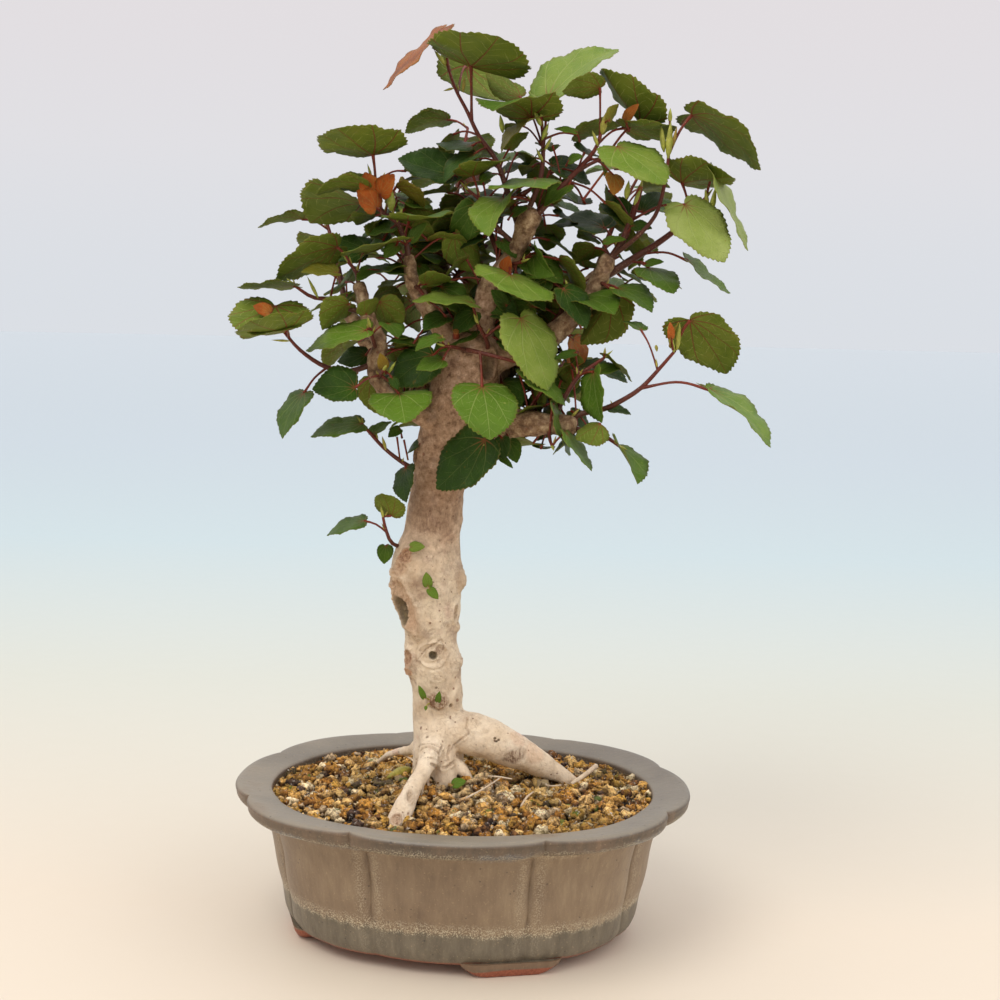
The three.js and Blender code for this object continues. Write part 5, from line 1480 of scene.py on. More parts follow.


# Each placed shoot: stems as (radii, line of (column, row, back)), then leaves as (where the stalk leaves the
# stem, base, tip, width in metres, roll in degrees, tone from dark to light, which holds the leaf's own green
# and also its painted light, shade and sheen) and, for some, (fold, arch) and a bronze share

shootTable = {
    "crownLeft": ([([0.0026, 0.0022, 0.0018, 0.0014, 0.0011], [(519, 228, 0.002), (510, 200, 0.006),
        (496, 160, 0.005), (479, 136, 0.005), (467, 111, 0.006), (455, 88, 0.008), (447, 64, 0.01)])], [
        ((472, 120), (471, 66, 0), (499, 36, -0.046), 0.052, -15, 0.5, (0.09, -0.15)),
        ((458, 92), (466, 66, 0.038), (488, 100, 0.013), 0.039, -188, 0.35, (-0.06, 0.51)),
        ((449, 72), (441, 30, 0.008), (383, 90, 0.003), 0.036, -13, 0.1, (-0.01, 0.1), 0.65),
        ((480, 139), (472, 146, 0.002), (436, 143, 0.005), 0.02, -22, 0.15, (-0.05, -0.01)),
        ((500, 166), (509, 149, 0), (528, 131, -0.008), 0.014, 0, 0.4),
        ((502, 175), (508, 172, 0.014), (540, 165, 0.028), 0.016, 10, 0.2)]),
    "crownMiddle": ([([0.0024, 0.002, 0.0016, 0.0012], [(526, 216, -0.002), (541, 176, -0.005),
        (543, 140, -0.005), (540, 108, -0.004)])], [
        ((542, 164), (548, 99, 0.002), (617, 46, 0.011), 0.045, 22, 0.82, (0.18, 0.22)),
        ((541, 114), (531, 117, -0.004), (493, 110, -0.043), 0.041, 2, 0.5, (0.13, 0.5)),
        ((543, 144), (520, 97, 0.016), (485, 73, 0.014), 0.019, 132, 0.2, (0.01, 0.24)),
        ((541, 129), (540, 117, -0.008), (500, 151, -0.014), 0.028, -5, 0.6, (0.08, 0.43), 0.25),
        ((543, 140), (576, 134, 0), (621, 125, 0.005), 0.021, -21, 0.5, (0.03, 0.17)),
        ((541, 186), (535, 179, -0.012), (500, 185, -0.044), 0.034, -1, 0.75, (-0.06, -0.16)),
        ((532, 200), (504, 199, -0.012), (488, 235, -0.034), 0.026, 19, 0.75, (0.4, 0.29))]),
    "crownInner": ([([0.0022, 0.0016, 0.0012], [(517, 246, 0), (496, 226, 0), (480, 200, -0.002),
        (468, 190, -0.002)])], [
        ((480, 200), (473, 176, -0.006), (505, 159, -0.027), 0.031, 11, 0.4, (0.24, 0.04)),
        ((470, 192), (453, 175, 0.004), (398, 158, 0.005), 0.029, -40, 0.15, (0.25, -0.14)),
        ((484, 206), (475, 204, 0.002), (452, 242, 0.006), 0.019, -129, 0.35, (0.34, 0.5)),
        ((496, 227), (484, 238, 0.008), (460, 248, 0.002), 0.013, -20, 0.15)]),
    "crownRight": ([([0.003, 0.0025, 0.0019, 0.0013], [(526, 228, -0.001), (550, 200, -0.005),
        (572, 176, -0.008), (596, 148, -0.01), (602, 128, -0.01)]),
        ([0.0018, 0.0014, 0.0012], [(576, 172, -0.008), (590, 164, -0.01), (606, 157, -0.012)])], [
        ((600, 137), (600, 88, -0.016), (562, 91, -0.025), 0.018, 36, 0.4, (0.1, 0.3)),
        ((603, 128), (609, 120, -0.018), (619, 104, -0.018), 0.009, -30, 0.6, None, 0.5),
        ((597, 160), (618, 147, -0.016), (666, 183, -0.031), 0.037, 18, 0.86, (-0.02, 0.05)),
        ((599, 143), (625, 128, 0.002), (677, 127, -0.009), 0.031, -13, 0.5, (-0.03, -0.16)),
        ((606, 157), (640, 122, 0.004), (603, 68, -0.018), 0.037, -13, 0.4, (0.39, -0.12)),
        ((588, 160), (613, 175, -0.012), (614, 195, -0.016), 0.011, -20, 0.8, None, 0.75),
        ((570, 180), (585, 204, 0.014), (549, 199, 0.028), 0.016, -10, 0.15)]),
    "rightUpper": ([([0.0032, 0.0028, 0.0022], [(609, 262, 0.005), (624, 238, 0.003), (632, 217, 0.001),
        (640, 190, -0.001)]), ([0.002, 0.0017, 0.0014, 0.001], [(613, 256, 0.004), (640, 234, -0.006),
        (656, 214, -0.008), (665, 182, -0.008), (669, 150, -0.009), (670, 121, -0.01)])], [
        ((669, 156), (692, 115, -0.008), (761, 170, -0.007), 0.046, -10, 0.4, (0.01, 0.3)),
        ((632, 219), (685, 205, -0.012), (726, 261, -0.022), 0.033, 32, 1.04, (-0.05, 0.06)),
        ((634, 212), (642, 212, 0.006), (660, 192, 0.016), 0.012, 30, 0.15),
        ((618, 246), (604, 228, 0.012), (550, 224, 0.03), 0.024, -25, 0.15),
        ((627, 232), (628, 222, 0.01), (600, 204, 0.016), 0.015, -48, 0.2, (0.55, 0.47))]),
    "rightLong": ([([0.0034, 0.0028, 0.0022, 0.0016], [(603, 278, 0.008), (628, 262, 0.007),
        (655, 245, 0.005), (680, 226, 0.004), (706, 198, 0.003)])], [
        ((692, 214), (682, 183, 0.008), (732, 177, -0.016), 0.033, -21, 0.3, (0.3, 0.05)),
        ((706, 200), (713, 173, -0.002), (748, 251, 0), 0.042, 19, 0.95, (0.04, 0.03)),
        ((645, 252), (688, 261, -0.002), (730, 294, 0.003), 0.03, 21, 0.7, (0.09, -0.07)),
        ((629, 260), (649, 268, 0.001), (674, 293, -0.014), 0.025, 5, 0.5, (-0.05, 0.22))]),
    "elbow": ([([0.002, 0.0016], [(598, 283, 0.008), (604, 284, 0.002), (610, 288, -0.001)])], [
        ((606, 285), (618, 289, -0.004), (653, 311, -0.013), 0.024, 16, 0.5, (0.17, 0.3)),
        ((608, 287), (612, 294, 0.002), (580, 344, 0.001), 0.029, 137, 0.15, (0.5, 0.16))]),
    "rightSpray": ([([0.0024, 0.0021, 0.0017, 0.0012], [(562, 422, -0.013), (584, 413, -0.015),
        (604, 409, -0.017), (621, 401, -0.019), (641, 388, -0.02), (660, 368, -0.021),
        (674, 352, -0.022)])], [
        ((674, 353), (690, 320, -0.024), (727, 373, -0.005), 0.037, -16, 0.6, (-0.06, 0.16)),
        ((673, 355), (672, 346, -0.026), (679, 322, -0.027), 0.008, 0, 0.6, None, 0.9),
        ((659, 368), (641, 330, -0.016), (624, 322, -0.006), 0.012, 0, 0.5),
        ((641, 389), (710, 390, -0.027), (773, 445, -0.039), 0.043, -1, 0.75, (0.13, 0.16)),
        ((612, 410), (606, 409, -0.014), (631, 415, -0.016), 0.013, 16, 0.2, (0.2, 0.09))]),
    "leftTop": ([([0.0026, 0.002, 0.0016, 0.0012], [(409, 262, -0.007), (406, 242, -0.007),
        (397, 222, -0.008), (383, 213, -0.009), (376, 190, -0.01), (371, 176, -0.01)])], [
        ((376, 192), (373, 155, -0.012), (337, 124, -0.052), 0.043, 9, 0.45, (0.17, -0.15)),
        ((385, 214), (361, 204, 0), (310, 223, 0.032), 0.046, 19, 0.45, (0.15, 0.28)),
        ((378, 200), (368, 188, -0.016), (315, 193, -0.019), 0.025, 14, 0.45, (0.15, 0.31)),
        ((388, 216), (396, 187, -0.012), (425, 208, -0.003), 0.018, -3, 0.5, (0.41, -0.02), 0.7),
        ((391, 218), (399, 198, -0.004), (433, 206, 0.004), 0.018, 27, 0.5, (0.07, -0.14)),
        ((402, 235), (409, 221, -0.012), (438, 214, -0.042), 0.034, 6, 0.5, (0.19, -0.08)),
        ((396, 222), (383, 240, 0.001), (392, 219, 0.017), 0.02, -127, 0.45, (0.55, 0.39)),
        ((407, 252), (414, 247, 0.002), (452, 230, 0.013), 0.025, 22, 0.2, (-0.04, -0.02)),
        ((406, 246), (397, 241, -0.014), (341, 252, -0.033), 0.037, 9, 0.45, (-0.05, 0.02))]),
    "leftFar": ([([0.0026, 0.002, 0.0016, 0.0011], [(366, 312, -0.008), (350, 309, -0.011),
        (330, 300, -0.013), (312, 297, -0.014), (295, 286, -0.016)])], [
        ((298, 288), (294, 286, -0.018), (237, 288, -0.021), 0.028, 7, 0.5, (0.05, 0.02)),
        ((330, 300), (337, 273, -0.018), (301, 272, -0.024), 0.018, -24, 0.6, (0.25, -0.03), 0.25),
        ((350, 309), (349, 304, -0.018), (322, 330, -0.017), 0.021, 33, 0.5, (0.26, 0.35)),
        ((364, 312), (366, 314, -0.02), (375, 297, -0.028), 0.013, 10, 0.5)]),
    "leftHook": ([([0.002, 0.0015, 0.0012], [(359, 288, -0.006), (356, 272, -0.006), (348, 262, -0.006)])], [
        ((352, 266), (337, 247, -0.01), (275, 278, -0.014), 0.035, 25, 0.45, (0.09, -0.06)),
        ((357, 274), (366, 250, 0.014), (320, 250, 0.019), 0.027, -37, 0.2, (-0.04, 0.22))]),
    "leftLow": ([([0.0024, 0.002, 0.0016, 0.0011], [(373, 364, -0.013), (350, 371, -0.016),
        (326, 367, -0.019), (300, 350, -0.021), (284, 332, -0.022)])], [
        ((286, 334), (275, 306, -0.018), (254, 334, -0.05), 0.04, 176, 0.5, (-0.06, 0.21)),
        ((290, 340), (286, 331, -0.034), (250, 321, -0.067), 0.038, 20, 0.55, (0.15, -0.15)),
        ((326, 368), (304, 393, -0.024), (281, 438, -0.031), 0.028, -3, 0.4, (0.02, 0.27))]),
    "leftFront": ([([0.002, 0.0016, 0.0013], [(378, 380, -0.013), (381, 374, -0.022), (384, 370, -0.028)])], [
        ((381, 374), (399, 394, -0.022), (405, 423, -0.049), 0.032, 9, 0.62, (0.07, 0.18)),
        ((380, 376), (355, 388, -0.028), (312, 389, -0.031), 0.023, -52, 0.15, (0.25, 0.28))]),
    "leftInner": ([([0.002, 0.0015, 0.0012], [(377, 352, -0.012), (373, 340, -0.017), (370, 328, -0.02)])], [
        ((371, 330), (366, 331, -0.022), (305, 349, -0.023), 0.028, -23, 0.7, (0.15, 0.03)),
        ((375, 346), (366, 355, -0.006), (337, 361, -0.006), 0.016, -43, 0.2, (-0.02, 0.19)),
        ((372, 336), (388, 324, -0.024), (398, 338, -0.032), 0.014, 0, 0.4)]),
    "middleLeft": ([([0.002, 0.0016, 0.0012], [(414, 286, -0.006), (420, 290, -0.014),
        (426, 300, -0.018)])], [
        ((418, 288), (426, 284, -0.014), (451, 277, -0.024), 0.015, -20, 0.55),
        ((426, 298), (446, 317, -0.014), (423, 330, -0.022), 0.015, -25, 0.2)]),
    "frontSpur": ([([0.0022, 0.0018, 0.0012], [(484, 350, 0), (488, 344, -0.014), (478, 324, -0.02)])], [
        ((479, 325), (471, 303, -0.02), (412, 301, -0.029), 0.028, -13, 0.8, (0.07, 0.16)),
        ((484, 336), (521, 319, -0.024), (548, 391, -0.029), 0.039, 19, 0.9, (-0.04, 0.14))]),
    "frontTwig": ([([0.0024, 0.002, 0.0016, 0.0012], [(462, 352, 0), (466, 350, -0.016), (486, 354, -0.024),
        (516, 362, -0.026)]), ([0.0018, 0.0014, 0.0011], [(466, 350, -0.016), (454, 347, -0.024),
        (444, 346, -0.028)])], [
        ((479, 352), (482, 387, -0.03), (490, 440, -0.05), 0.033, -1, 0.57, (-0.04, 0.27)),
        ((510, 360), (524, 369, -0.022), (566, 405, -0.022), 0.026, 20, 0.6, (-0.04, 0.24)),
        ((446, 346), (441, 338, -0.03), (415, 351, -0.036), 0.012, -20, 0.5),
        ((448, 347), (443, 360, -0.028), (416, 370, -0.032), 0.016, -25, 0.5, (-0.05, 0.25)),
        ((452, 348), (433, 356, -0.012), (391, 386, -0.014), 0.026, -55, 0.15, (-0.03, 0.27))]),
    "middleUpper": ([([0.002, 0.0016, 0.0012], [(507, 262, 0.001), (512, 264, -0.01), (522, 262, -0.014)])], [
        ((510, 263), (510, 275, -0.018), (527, 298, -0.052), 0.041, -14, 0.8, (0.01, -0.12)),
        ((520, 262), (536, 253, -0.002), (555, 276, -0.018), 0.018, 89, 0.5, (0.55, 0.45)),
        ((514, 264), (514, 290, -0.006), (546, 310, -0.012), 0.018, 20, 0.15)]),
    "middleRight": ([([0.002, 0.0016, 0.0012], [(574, 315, 0.007), (572, 303, -0.002),
        (568, 290, -0.006)])], [
        ((570, 294), (563, 289, -0.012), (586, 329, -0.016), 0.021, 30, 0.15, (0.15, 0.24))]),
    "lowerRightTop": ([([0.0024, 0.002, 0.0016, 0.0012], [(550, 424, -0.013), (562, 402, -0.013),
        (579, 376, -0.014), (604, 358, -0.014)])], [
        ((603, 359), (605, 354, -0.016), (633, 381, -0.013), 0.021, 1, 0.5, (-0.05, 0.16)),
        ((580, 376), (571, 364, -0.008), (555, 377, 0), 0.011, -20, 0.15),
        ((577, 380), (594, 372, -0.02), (603, 423, -0.03), 0.024, 88, 0.5, (0.22, 0.16)),
        ((590, 368), (599, 372, -0.01), (624, 367, -0.006), 0.01, 30, 0.5)]),
    "lowerRightEnd": ([([0.0024, 0.0019, 0.0013], [(572, 428, -0.015), (591, 433, -0.02), (606, 437, -0.022),
        (619, 446, -0.024)])], [
        ((618, 446), (618, 446, -0.024), (639, 483, -0.044), 0.025, -32, 0.5, (0.39, 0.07)),
        ((590, 428), (571, 411, -0.008), (589, 431, -0.008), 0.014, 31, 0.2, (-0.04, 0.31)),
        ((594, 430), (600, 424, -0.03), (576, 440, -0.036), 0.018, 150, 0.4, (0.53, -0.15)),
        ((584, 427), (574, 440, -0.016), (553, 455, -0.012), 0.015, -20, 0.35)]),
    "lowerRightHang": ([([0.0018, 0.0014, 0.0011], [(548, 425, -0.013), (550, 440, -0.022),
        (552, 446, -0.026)])], [
        ((551, 445), (566, 433, -0.028), (592, 471, -0.036), 0.022, -11, 0.5, (0.06, -0.02)),
        ((550, 438), (553, 403, -0.023), (572, 455, -0.014), 0.033, 46, 0.5, (0.02, -0.05))]),
    "lowerMiddle": ([([0.0022, 0.0017, 0.0013], [(496, 424, -0.006), (494, 436, -0.018),
        (488, 442, -0.022)])], [
        ((489, 441), (485, 440, -0.024), (436, 489, -0.024), 0.033, -51, 0.15, (0.06, -0.11)),
        ((494, 436), (502, 438, -0.022), (504, 460, -0.024), 0.01, 59, 0.2, (0.03, 0.19))]),
    "lowerLeft": ([([0.0022, 0.0017, 0.0013], [(416, 470, 0.003), (402, 462, -0.006), (384, 448, -0.008),
        (363, 425, -0.01)])], [
        ((364, 426), (362, 424, -0.012), (310, 435, -0.018), 0.026, -18, 0.5, (0.04, 0.13)),
        ((376, 440), (374, 434, -0.008), (391, 421, 0.002), 0.011, 0, 0.5),
        ((402, 462), (406, 468, -0.014), (405, 502, -0.024), 0.017, 48, 0.15, (0.03, 0.25))]),
    "lowest": ([([0.0019, 0.0015, 0.0011], [(404, 548, 0.006), (391, 542, -0.006), (386, 530, -0.008),
        (383, 517, -0.009)])], [
        ((387, 533), (364, 521, -0.01), (326, 534, -0.01), 0.022, -15, 0.45, (0.01, 0.2)),
        ((384, 519), (391, 516, -0.008), (382, 493, -0.018), 0.018, 0, 0.5)]),
}
turnedTable = {  # start (column, row, back), end in metres, number of leaves, first turn in degrees
    "backTop": ((452, 228, 0.069), (-0.012, 0.096, 0.436), 5, 20),
    "backCrown": ((441, 266, 0.055), (-0.058, 0.066, 0.404), 5, 160),
    "backUpperRight": ((446, 292, 0.045), (0.04, 0.058, 0.41), 5, 35),
    "backRight": ((594, 277, 0.073), (0.086, 0.08, 0.408), 5, 10),
    "backRightLow": ((562, 319, 0.06), (0.08, 0.098, 0.348), 4, 245),
    "backLeft": ((346, 308, 0.061), (-0.092, 0.076, 0.386), 5, 192),
    "backLeftLow": ((374, 352, 0.054), (-0.058, 0.1, 0.348), 4, 120),
    "backMiddle": ((514, 360, 0.034), (0, 0.098, 0.332), 4, 250),
    "innerLeft": ((426, 304, -0.004), (-0.042, 0.028, 0.356), 5, 130),
    "innerTop": ((502, 264, 0.001), (-0.004, 0.036, 0.388), 5, 65),
    "innerRight": ((556, 332, 0.005), (0.052, 0.032, 0.35), 5, 125),
    "innerLow": ((524, 424, -0.01), (0.05, 0.042, 0.306), 5, 35),
}


def placedLeaf(sprig, stemPlaces, stemSeen, stalk, base, tip, wide, roll, tone, bow=None, young=0):
    aside = np.hypot(stemSeen[:, 0] - stalk[0], stemSeen[:, 1] - stalk[1])
    start = stemPlaces[int(aside.argmin())]
    base = seen(*base)
    tip = seen(*tip)
    addStalk(sprig, start, base, (tip - base).length)
    addBlade(sprig, base, tip, wide, roll, tone, young, bow=bow)
    addStipule(sprig, start, (base - start).normalized())


def placedShoot(sprig, stems, leaves):
    stemPlaces = []
    for radii, points in stems:
        line = addStem(sprig, seenLine(points), radii)
        stemPlaces += line
        tip = line[-1]
        ahead = (tip - line[-3]).normalized()
        addPod(sprig, tip - ahead * 0.001, tip + ahead * 0.0055 + up * 0.001, 0.36)
    stemSeen = pictured(np.array(stemPlaces))
    for row in leaves:
        placedLeaf(sprig, stemPlaces, stemSeen, *row)


def turnedShoot(sprig, start, end, count, turn):
    # a shoot of the back or the inside, its leaves set round the stem by the golden angle
    start = seen(*start)
    outward = Vector((*end[:2], 0)).normalized()
    end = Vector(end) + potMiddle
    bend = start.lerp(end, 0.5) + up * 0.08 * (end - start).length
    line = addStem(sprig, [start, bend, end], (0.0028, 0.002, 0.0012))
    for k in range(count):
        share = 0.25 + 0.75 * k / (count - 1)
        angle = math.radians(turn) + k * math.radians(137.5)
        way = (Vector((math.cos(angle), math.sin(angle), 0)) + outward * 0.7).normalized()
        seatPlace = line[min(len(line) - 1, round(share * (len(line) - 1)))]
        base = seatPlace + way * (0.012 + 0.004 * math.sin(k * 1.3 + turn)) + up * 0.005
        length = 0.0265 + 0.004 * math.sin(k * 2.1 + turn)
        tip = base + way * length - up * 0.25 * length
        addStalk(sprig, seatPlace, base, length)
        tone = 0.35 + 0.15 * math.sin(k * 2.3)
        addBlade(sprig, base, tip, 0.92 * length, 16 * math.sin(k * 1.7 + turn), tone, kind="broad")
        addStipule(sprig, seatPlace, way)


templates = {name.capitalize() + " Blade": makeBlade(name, blade) for name, blade in blades.items()}
templates["Bud Pod"] = makePod()
greenBlade = leafFinish()
redStem = stemFinish()
shootNodes = shootTree()
for shoots, addShoot in ((shootTable, placedShoot), (turnedTable, turnedShoot)):
    for name, shoot in shoots.items():
        sprig = newSprig()
        addShoot(sprig, *shoot)
        growSprig("leafyShoot." + name, sprig, "shoot_" + name)

# Small growth: leaves that fill the crown's inside, and buds, sprouts and small leaves at seen places

filling = {
    "count": 270,
    "mostTries": 20000,
    "smallShare": 0.35,
    "stalk": (0.006, 0.024),
    "blade": (0.015, 0.026),
    "smallBlade": (0.009, 0.014),
    "seed": 21,
    "front": -0.010,  # none is further forward than this
    "room": 0.010,  # kept inside the object's box
}
crownOutline = [  # where the front view shows the crown closed, as (column, row)
    (430, 150), (480, 150), (520, 110), (560, 120), (600, 110), (640, 150), (672, 185), (655, 235),
    (640, 285), (600, 330), (600, 372), (622, 410), (604, 440), (545, 452), (508, 462), (490, 440),
    (440, 408), (418, 420), (410, 470), (396, 440), (352, 392), (318, 385), (345, 330), (318, 315),
    (330, 262), (318, 226), (366, 190), (400, 205),
]
crownGaps = [  # bark or background seen through it: (column, row, half width, half height)
    (478, 376, 34, 36), (360, 312, 10, 34), (596, 282, 22, 22), (562, 318, 16, 18), (526, 224, 15, 20),
    (449, 270, 7, 9), (566, 268, 8, 8), (368, 278, 8, 8), (382, 288, 9, 9), (361, 368, 9, 10),
    (599, 250, 7, 11), (531, 245, 7, 6), (610, 345, 14, 12), (505, 150, 8, 10), (560, 145, 7, 9),
]


def insideOutline(column, row):
    inside = False
    for (x1, y1), (x2, y2) in zip(crownOutline, crownOutline[1:] + crownOutline[:1]):
        if (y1 > row) != (y2 > row) and column < x1 + (row - y1) / (y2 - y1) * (x2 - x1):
            inside = not inside
    return inside


def seenOpen(column, row):
    return any(math.hypot((column - x) / wide, (row - y) / high) < 1 for x, y, wide, high in crownGaps)


def fillingSupports():
    # places on branches and stems that inner leaves may grow from: (place, girth, chance)
    supports = []
    for name, (radii, points) in trunkLines.items():
        if name.endswith("Branch"):
            line, shares = smoothLine(seenLine(points), 0.004)
            girths = girthAt(shares, seenLine(points), radii)
            supports += [(place, girth, 1.0) for place, girth in zip(line, girths) if place.z > 0.25]
    for stems, _ in shootTable.values():
        for _, points in stems:
            line, _ = smoothLine(seenLine(points), 0.004)
            supports += [(place, 0.001, 0.6) for place in line[: len(line) * 2 // 3]]
    for start, end, _, _ in turnedTable.values():
        start = seen(*start)
        end = Vector(end) + potMiddle
        supports += [(start.lerp(end, k / 8), 0.001, 0.8) for k in range(7)]
    return supports


def makeFilling():
    chance = random.Random(filling["seed"])
    supports = fillingSupports()
    low = cadBox[0] + Vector((filling["room"],) * 3)
    high = cadBox[1] - Vector((filling["room"],) * 3)
    sprig = newSprig()
    made = 0
    tries = 0

    def astray(spread):
        return Vector((chance.gauss(0, spread), chance.gauss(0, spread), 0))

    while made < filling["count"] and tries < filling["mostTries"]:
        tries += 1
        place, girth, weight = chance.choice(supports)
        if chance.random() > weight:
            continue
        way = Vector((chance.gauss(0, 1), chance.gauss(0, 1), chance.gauss(0.25, 0.8))).normalized()
        stalk = chance.uniform(*filling["stalk"])
        small = chance.random() < filling["smallShare"]
        length = chance.uniform(*filling["smallBlade" if small else "blade"])
        base = place + way * (girth + stalk) + up * 0.002
        flat = Vector((way.x, way.y, 0)).normalized()
        tip = base + (flat + up * chance.uniform(-1.3, 0.1) + astray(0.4)).normalized() * length
        if any(not l < part < h for l, part, h in zip(low, tip, high)):
            continue
        if min(base.y, tip.y) < filling["front"] + potMiddle.y:
            continue
        tipSeen, middleSeen = (pictured(np.array([spot]))[0] for spot in (tip, base.lerp(tip, 0.4)))
        if not insideOutline(*tipSeen) or seenOpen(*tipSeen) or seenOpen(*middleSeen):
            continue
        addStalk(sprig, place, base, length)
        radial = Vector((base.x, base.y, 0)).normalized()
        facing = radial * chance.uniform(0.2, 1.1) + up + astray(0.35)
        # leaves at the back get darker tones: painted shade inside the crown
        tone = chance.uniform(0.02, 0.45) if base.y > potMiddle.y + 0.02 else chance.uniform(0.08, 0.6)
        wide = length * chance.uniform(0.78, 1.0)
        young = 0.85 if chance.random() < 0.02 else 0
        kind = "young" if small and chance.random() < 0.5 else "inner"
        addBlade(sprig, base, tip, wide, 0, tone, young, kind, facing)
        made += 1
    growSprig("innerLeaves", sprig)
    print("inner leaves", made, "tries", tries)


buds = [  # base (column, row, back), tip (column, row), width share, ripeness
    ((446, 66, 0.010), (434, 50), 0.45, 0.05), ((454, 88, 0.008), (443, 91), 0.4, 0.1),
    ((463, 92, 0.007), (465, 75), 0.32, 0.15), ((541, 126, -0.007), (534, 110), 0.5, 0),
    ((542, 140, -0.007), (549, 122), 0.42, 0), ((543, 162, -0.007), (536, 148), 0.42, 0.05),
    ((540, 118, -0.006), (545, 104), 0.45, 0), ((545, 150, -0.008), (552, 136), 0.4, 0.05),
    ((503, 133, 0), (500, 114), 0.45, 0), ((602, 134, -0.012), (606, 112), 0.52, 0.1),
    ((598, 146, -0.012), (592, 130), 0.4, 0.05), ((626, 199, -0.004), (629, 180), 0.5, 0.02),
    ((634, 205, -0.002), (641, 188), 0.42, 0.02), ((711, 213, 0.001), (716, 186), 0.36, 0.02),
    ((708, 207, 0.001), (705, 188), 0.36, 0.05), ((668, 158, -0.011), (671, 120), 0.3, 0.05),
    ((664, 152, -0.010), (661, 124), 0.34, 0.05), ((673, 146, -0.010), (677, 126), 0.3, 0.2),
    ((674, 352, -0.024), (667, 326), 0.34, 0.0), ((677, 350, -0.024), (680, 322), 0.3, 0.05),
    ((391, 211, -0.012), (392, 189), 0.5, 0.02), ((397, 222, -0.010), (403, 207), 0.4, 0.05),
    ((318, 298, -0.015), (307, 276), 0.3, 0.05), ((290, 341, -0.023), (271, 340), 0.26, 0.08),
    ((388, 374, -0.020), (396, 361), 0.4, 0.0), ((386, 374, -0.020), (378, 363), 0.4, 0.02),
    ((386, 450, -0.009), (382, 436), 0.4, 0.1), ((571, 418, -0.015), (580, 408), 0.4, 0.1),
    ((656, 345, -0.022), (657, 352), 0.7, 0.12),
]
littleLeaves = [  # stalk (column, row, back), base and tip (column, row), width in metres, tone, bronze share
    ((629, 132, -0.008), (625, 120), (639, 104), 0.006, 0.5, 0.85),
    ((566, 166, -0.008), (569, 161), (583, 156), 0.006, 0.5, 0),
    ((580, 142, -0.008), (576, 132), (554, 129), 0.004, 0.5, 0),
    ((375, 196, -0.013), (371, 192), (365, 172), 0.011, 0.5, 1),
    ((381, 208, -0.014), (381, 194), (394, 174), 0.012, 0.5, 1),
    ((381, 212, -0.014), (376, 208), (357, 190), 0.013, 0.5, 1),
    ((405, 245, -0.009), (411, 240), (427, 223), 0.007, 0.5, 0),
    ((400, 240, -0.010), (396, 246), (384, 258), 0.008, 0.45, 0),
    ((276, 322, -0.024), (270, 313), (253, 306), 0.008, 0.5, 1),
    ((386, 374, -0.021), (384, 368), (380, 353), 0.006, 0.6, 0.45),
    ((505, 275, -0.008), (505, 270), (509, 256), 0.007, 0.5, 1),
    ((510, 300, -0.004), (506, 306), (491, 290), 0.009, 0.3, 0),
    ((478, 330, -0.010), (475, 312), (453, 334), 0.012, 0.15, 0),
    ((578, 352, -0.010), (575, 353), (554, 359), 0.005, 0.3, 0),
    ((402, 438, 0), (400, 429), (388, 437), 0.006, 0.3, 0),
    ((505, 430, -0.012), (509, 441), (517, 463), 0.010, 0.3, 0),
    ((496, 440, -0.014), (499, 456), (513, 468), 0.004, 0.4, 0),
    ((386, 372, -0.021), (392, 378), (398, 390), 0.005, 0.3, 0),
    ((628, 232, 0), (633, 226), (652, 228), 0.007, 0.3, 0),
    ((606, 250, 0.004), (604, 242), (626, 239), 0.005, 0.5, 0),
    ((388, 545, 0.004), (386, 546), (384, 564), 0.009, 0.4, 0),
    ((673, 350, -0.026), (671, 338), (670, 322), 0.004, 0.5, 1),
    ((508, 220, -0.006), (513, 214), (528, 208), 0.006, 0.3, 0),
    ((640, 262, 0), (646, 264), (664, 262), 0.005, 0.4, 0),
]
bareStalks = [  # base and tip (column, row, back), radius
    ((397, 437, -0.004), (400, 460, 0), 0.0005), ((404, 440, -0.004), (408, 460, 0), 0.0005),
    ((583, 200, -0.008), (604, 172, -0.010), 0.0006), ((456, 337, -0.014), (456, 331, -0.017), 0.0016),
    ((637, 196, -0.001), (641, 186, -0.002), 0.0013), ((392, 208, -0.011), (391, 196, -0.012), 0.0014),
]
trunkSprouts = [  # where it leaves the bark, base and tip (column, row), width in metres
    ((409, 551), (412, 548), (427, 548), 0.0058), ((426, 585), (428, 585), (426, 571), 0.0055),
    ((427, 585), (429, 588), (438, 598), 0.0050), ((427, 699), (426, 697), (421, 684), 0.0034),
    ((437, 702), (438, 701), (440, 690), 0.0034), ((428, 703), (428, 705), (428, 709), 0.0018),
]


def makeSmallGrowth():
    sprig = newSprig()
    for base, tip, wide, ripe in buds:
        addPod(sprig, seen(*base), seen(*tip, base[2] - 0.001), wide, ripe)
    for stalk, base, tip, wide, tone, young in littleLeaves:
        base = seen(*base, stalk[2] - 0.003)
        tip = seen(*tip, stalk[2] - 0.006)
        addStalk(sprig, seen(*stalk), base, (tip - base).length)
        addBlade(sprig, base, tip, wide, 0, tone, young, "inner", toward + up * 0.5)
    for base, tip, radius in bareStalks:
        base = seen(*base)
        tip = seen(*tip)
        addLine(sprig, [base, base.lerp(tip, 0.5), tip], [radius * 1.2, radius, radius], 0.6, 0.35, 0.002)
    fallenLeaf = [onSoil(453, 785, 0.010), onSoil(466, 781, 0.012)]
    addBlade(sprig, *fallenLeaf, 0.0062, 0, 0.62, kind="inner", facing=toward + up)
    addPod(sprig, onSoil(411, 768, 0.006), onSoil(386, 778, 0.006), 0.42, 0.12)  # a mossy scrap
    growSprig("smallGrowth", sprig)


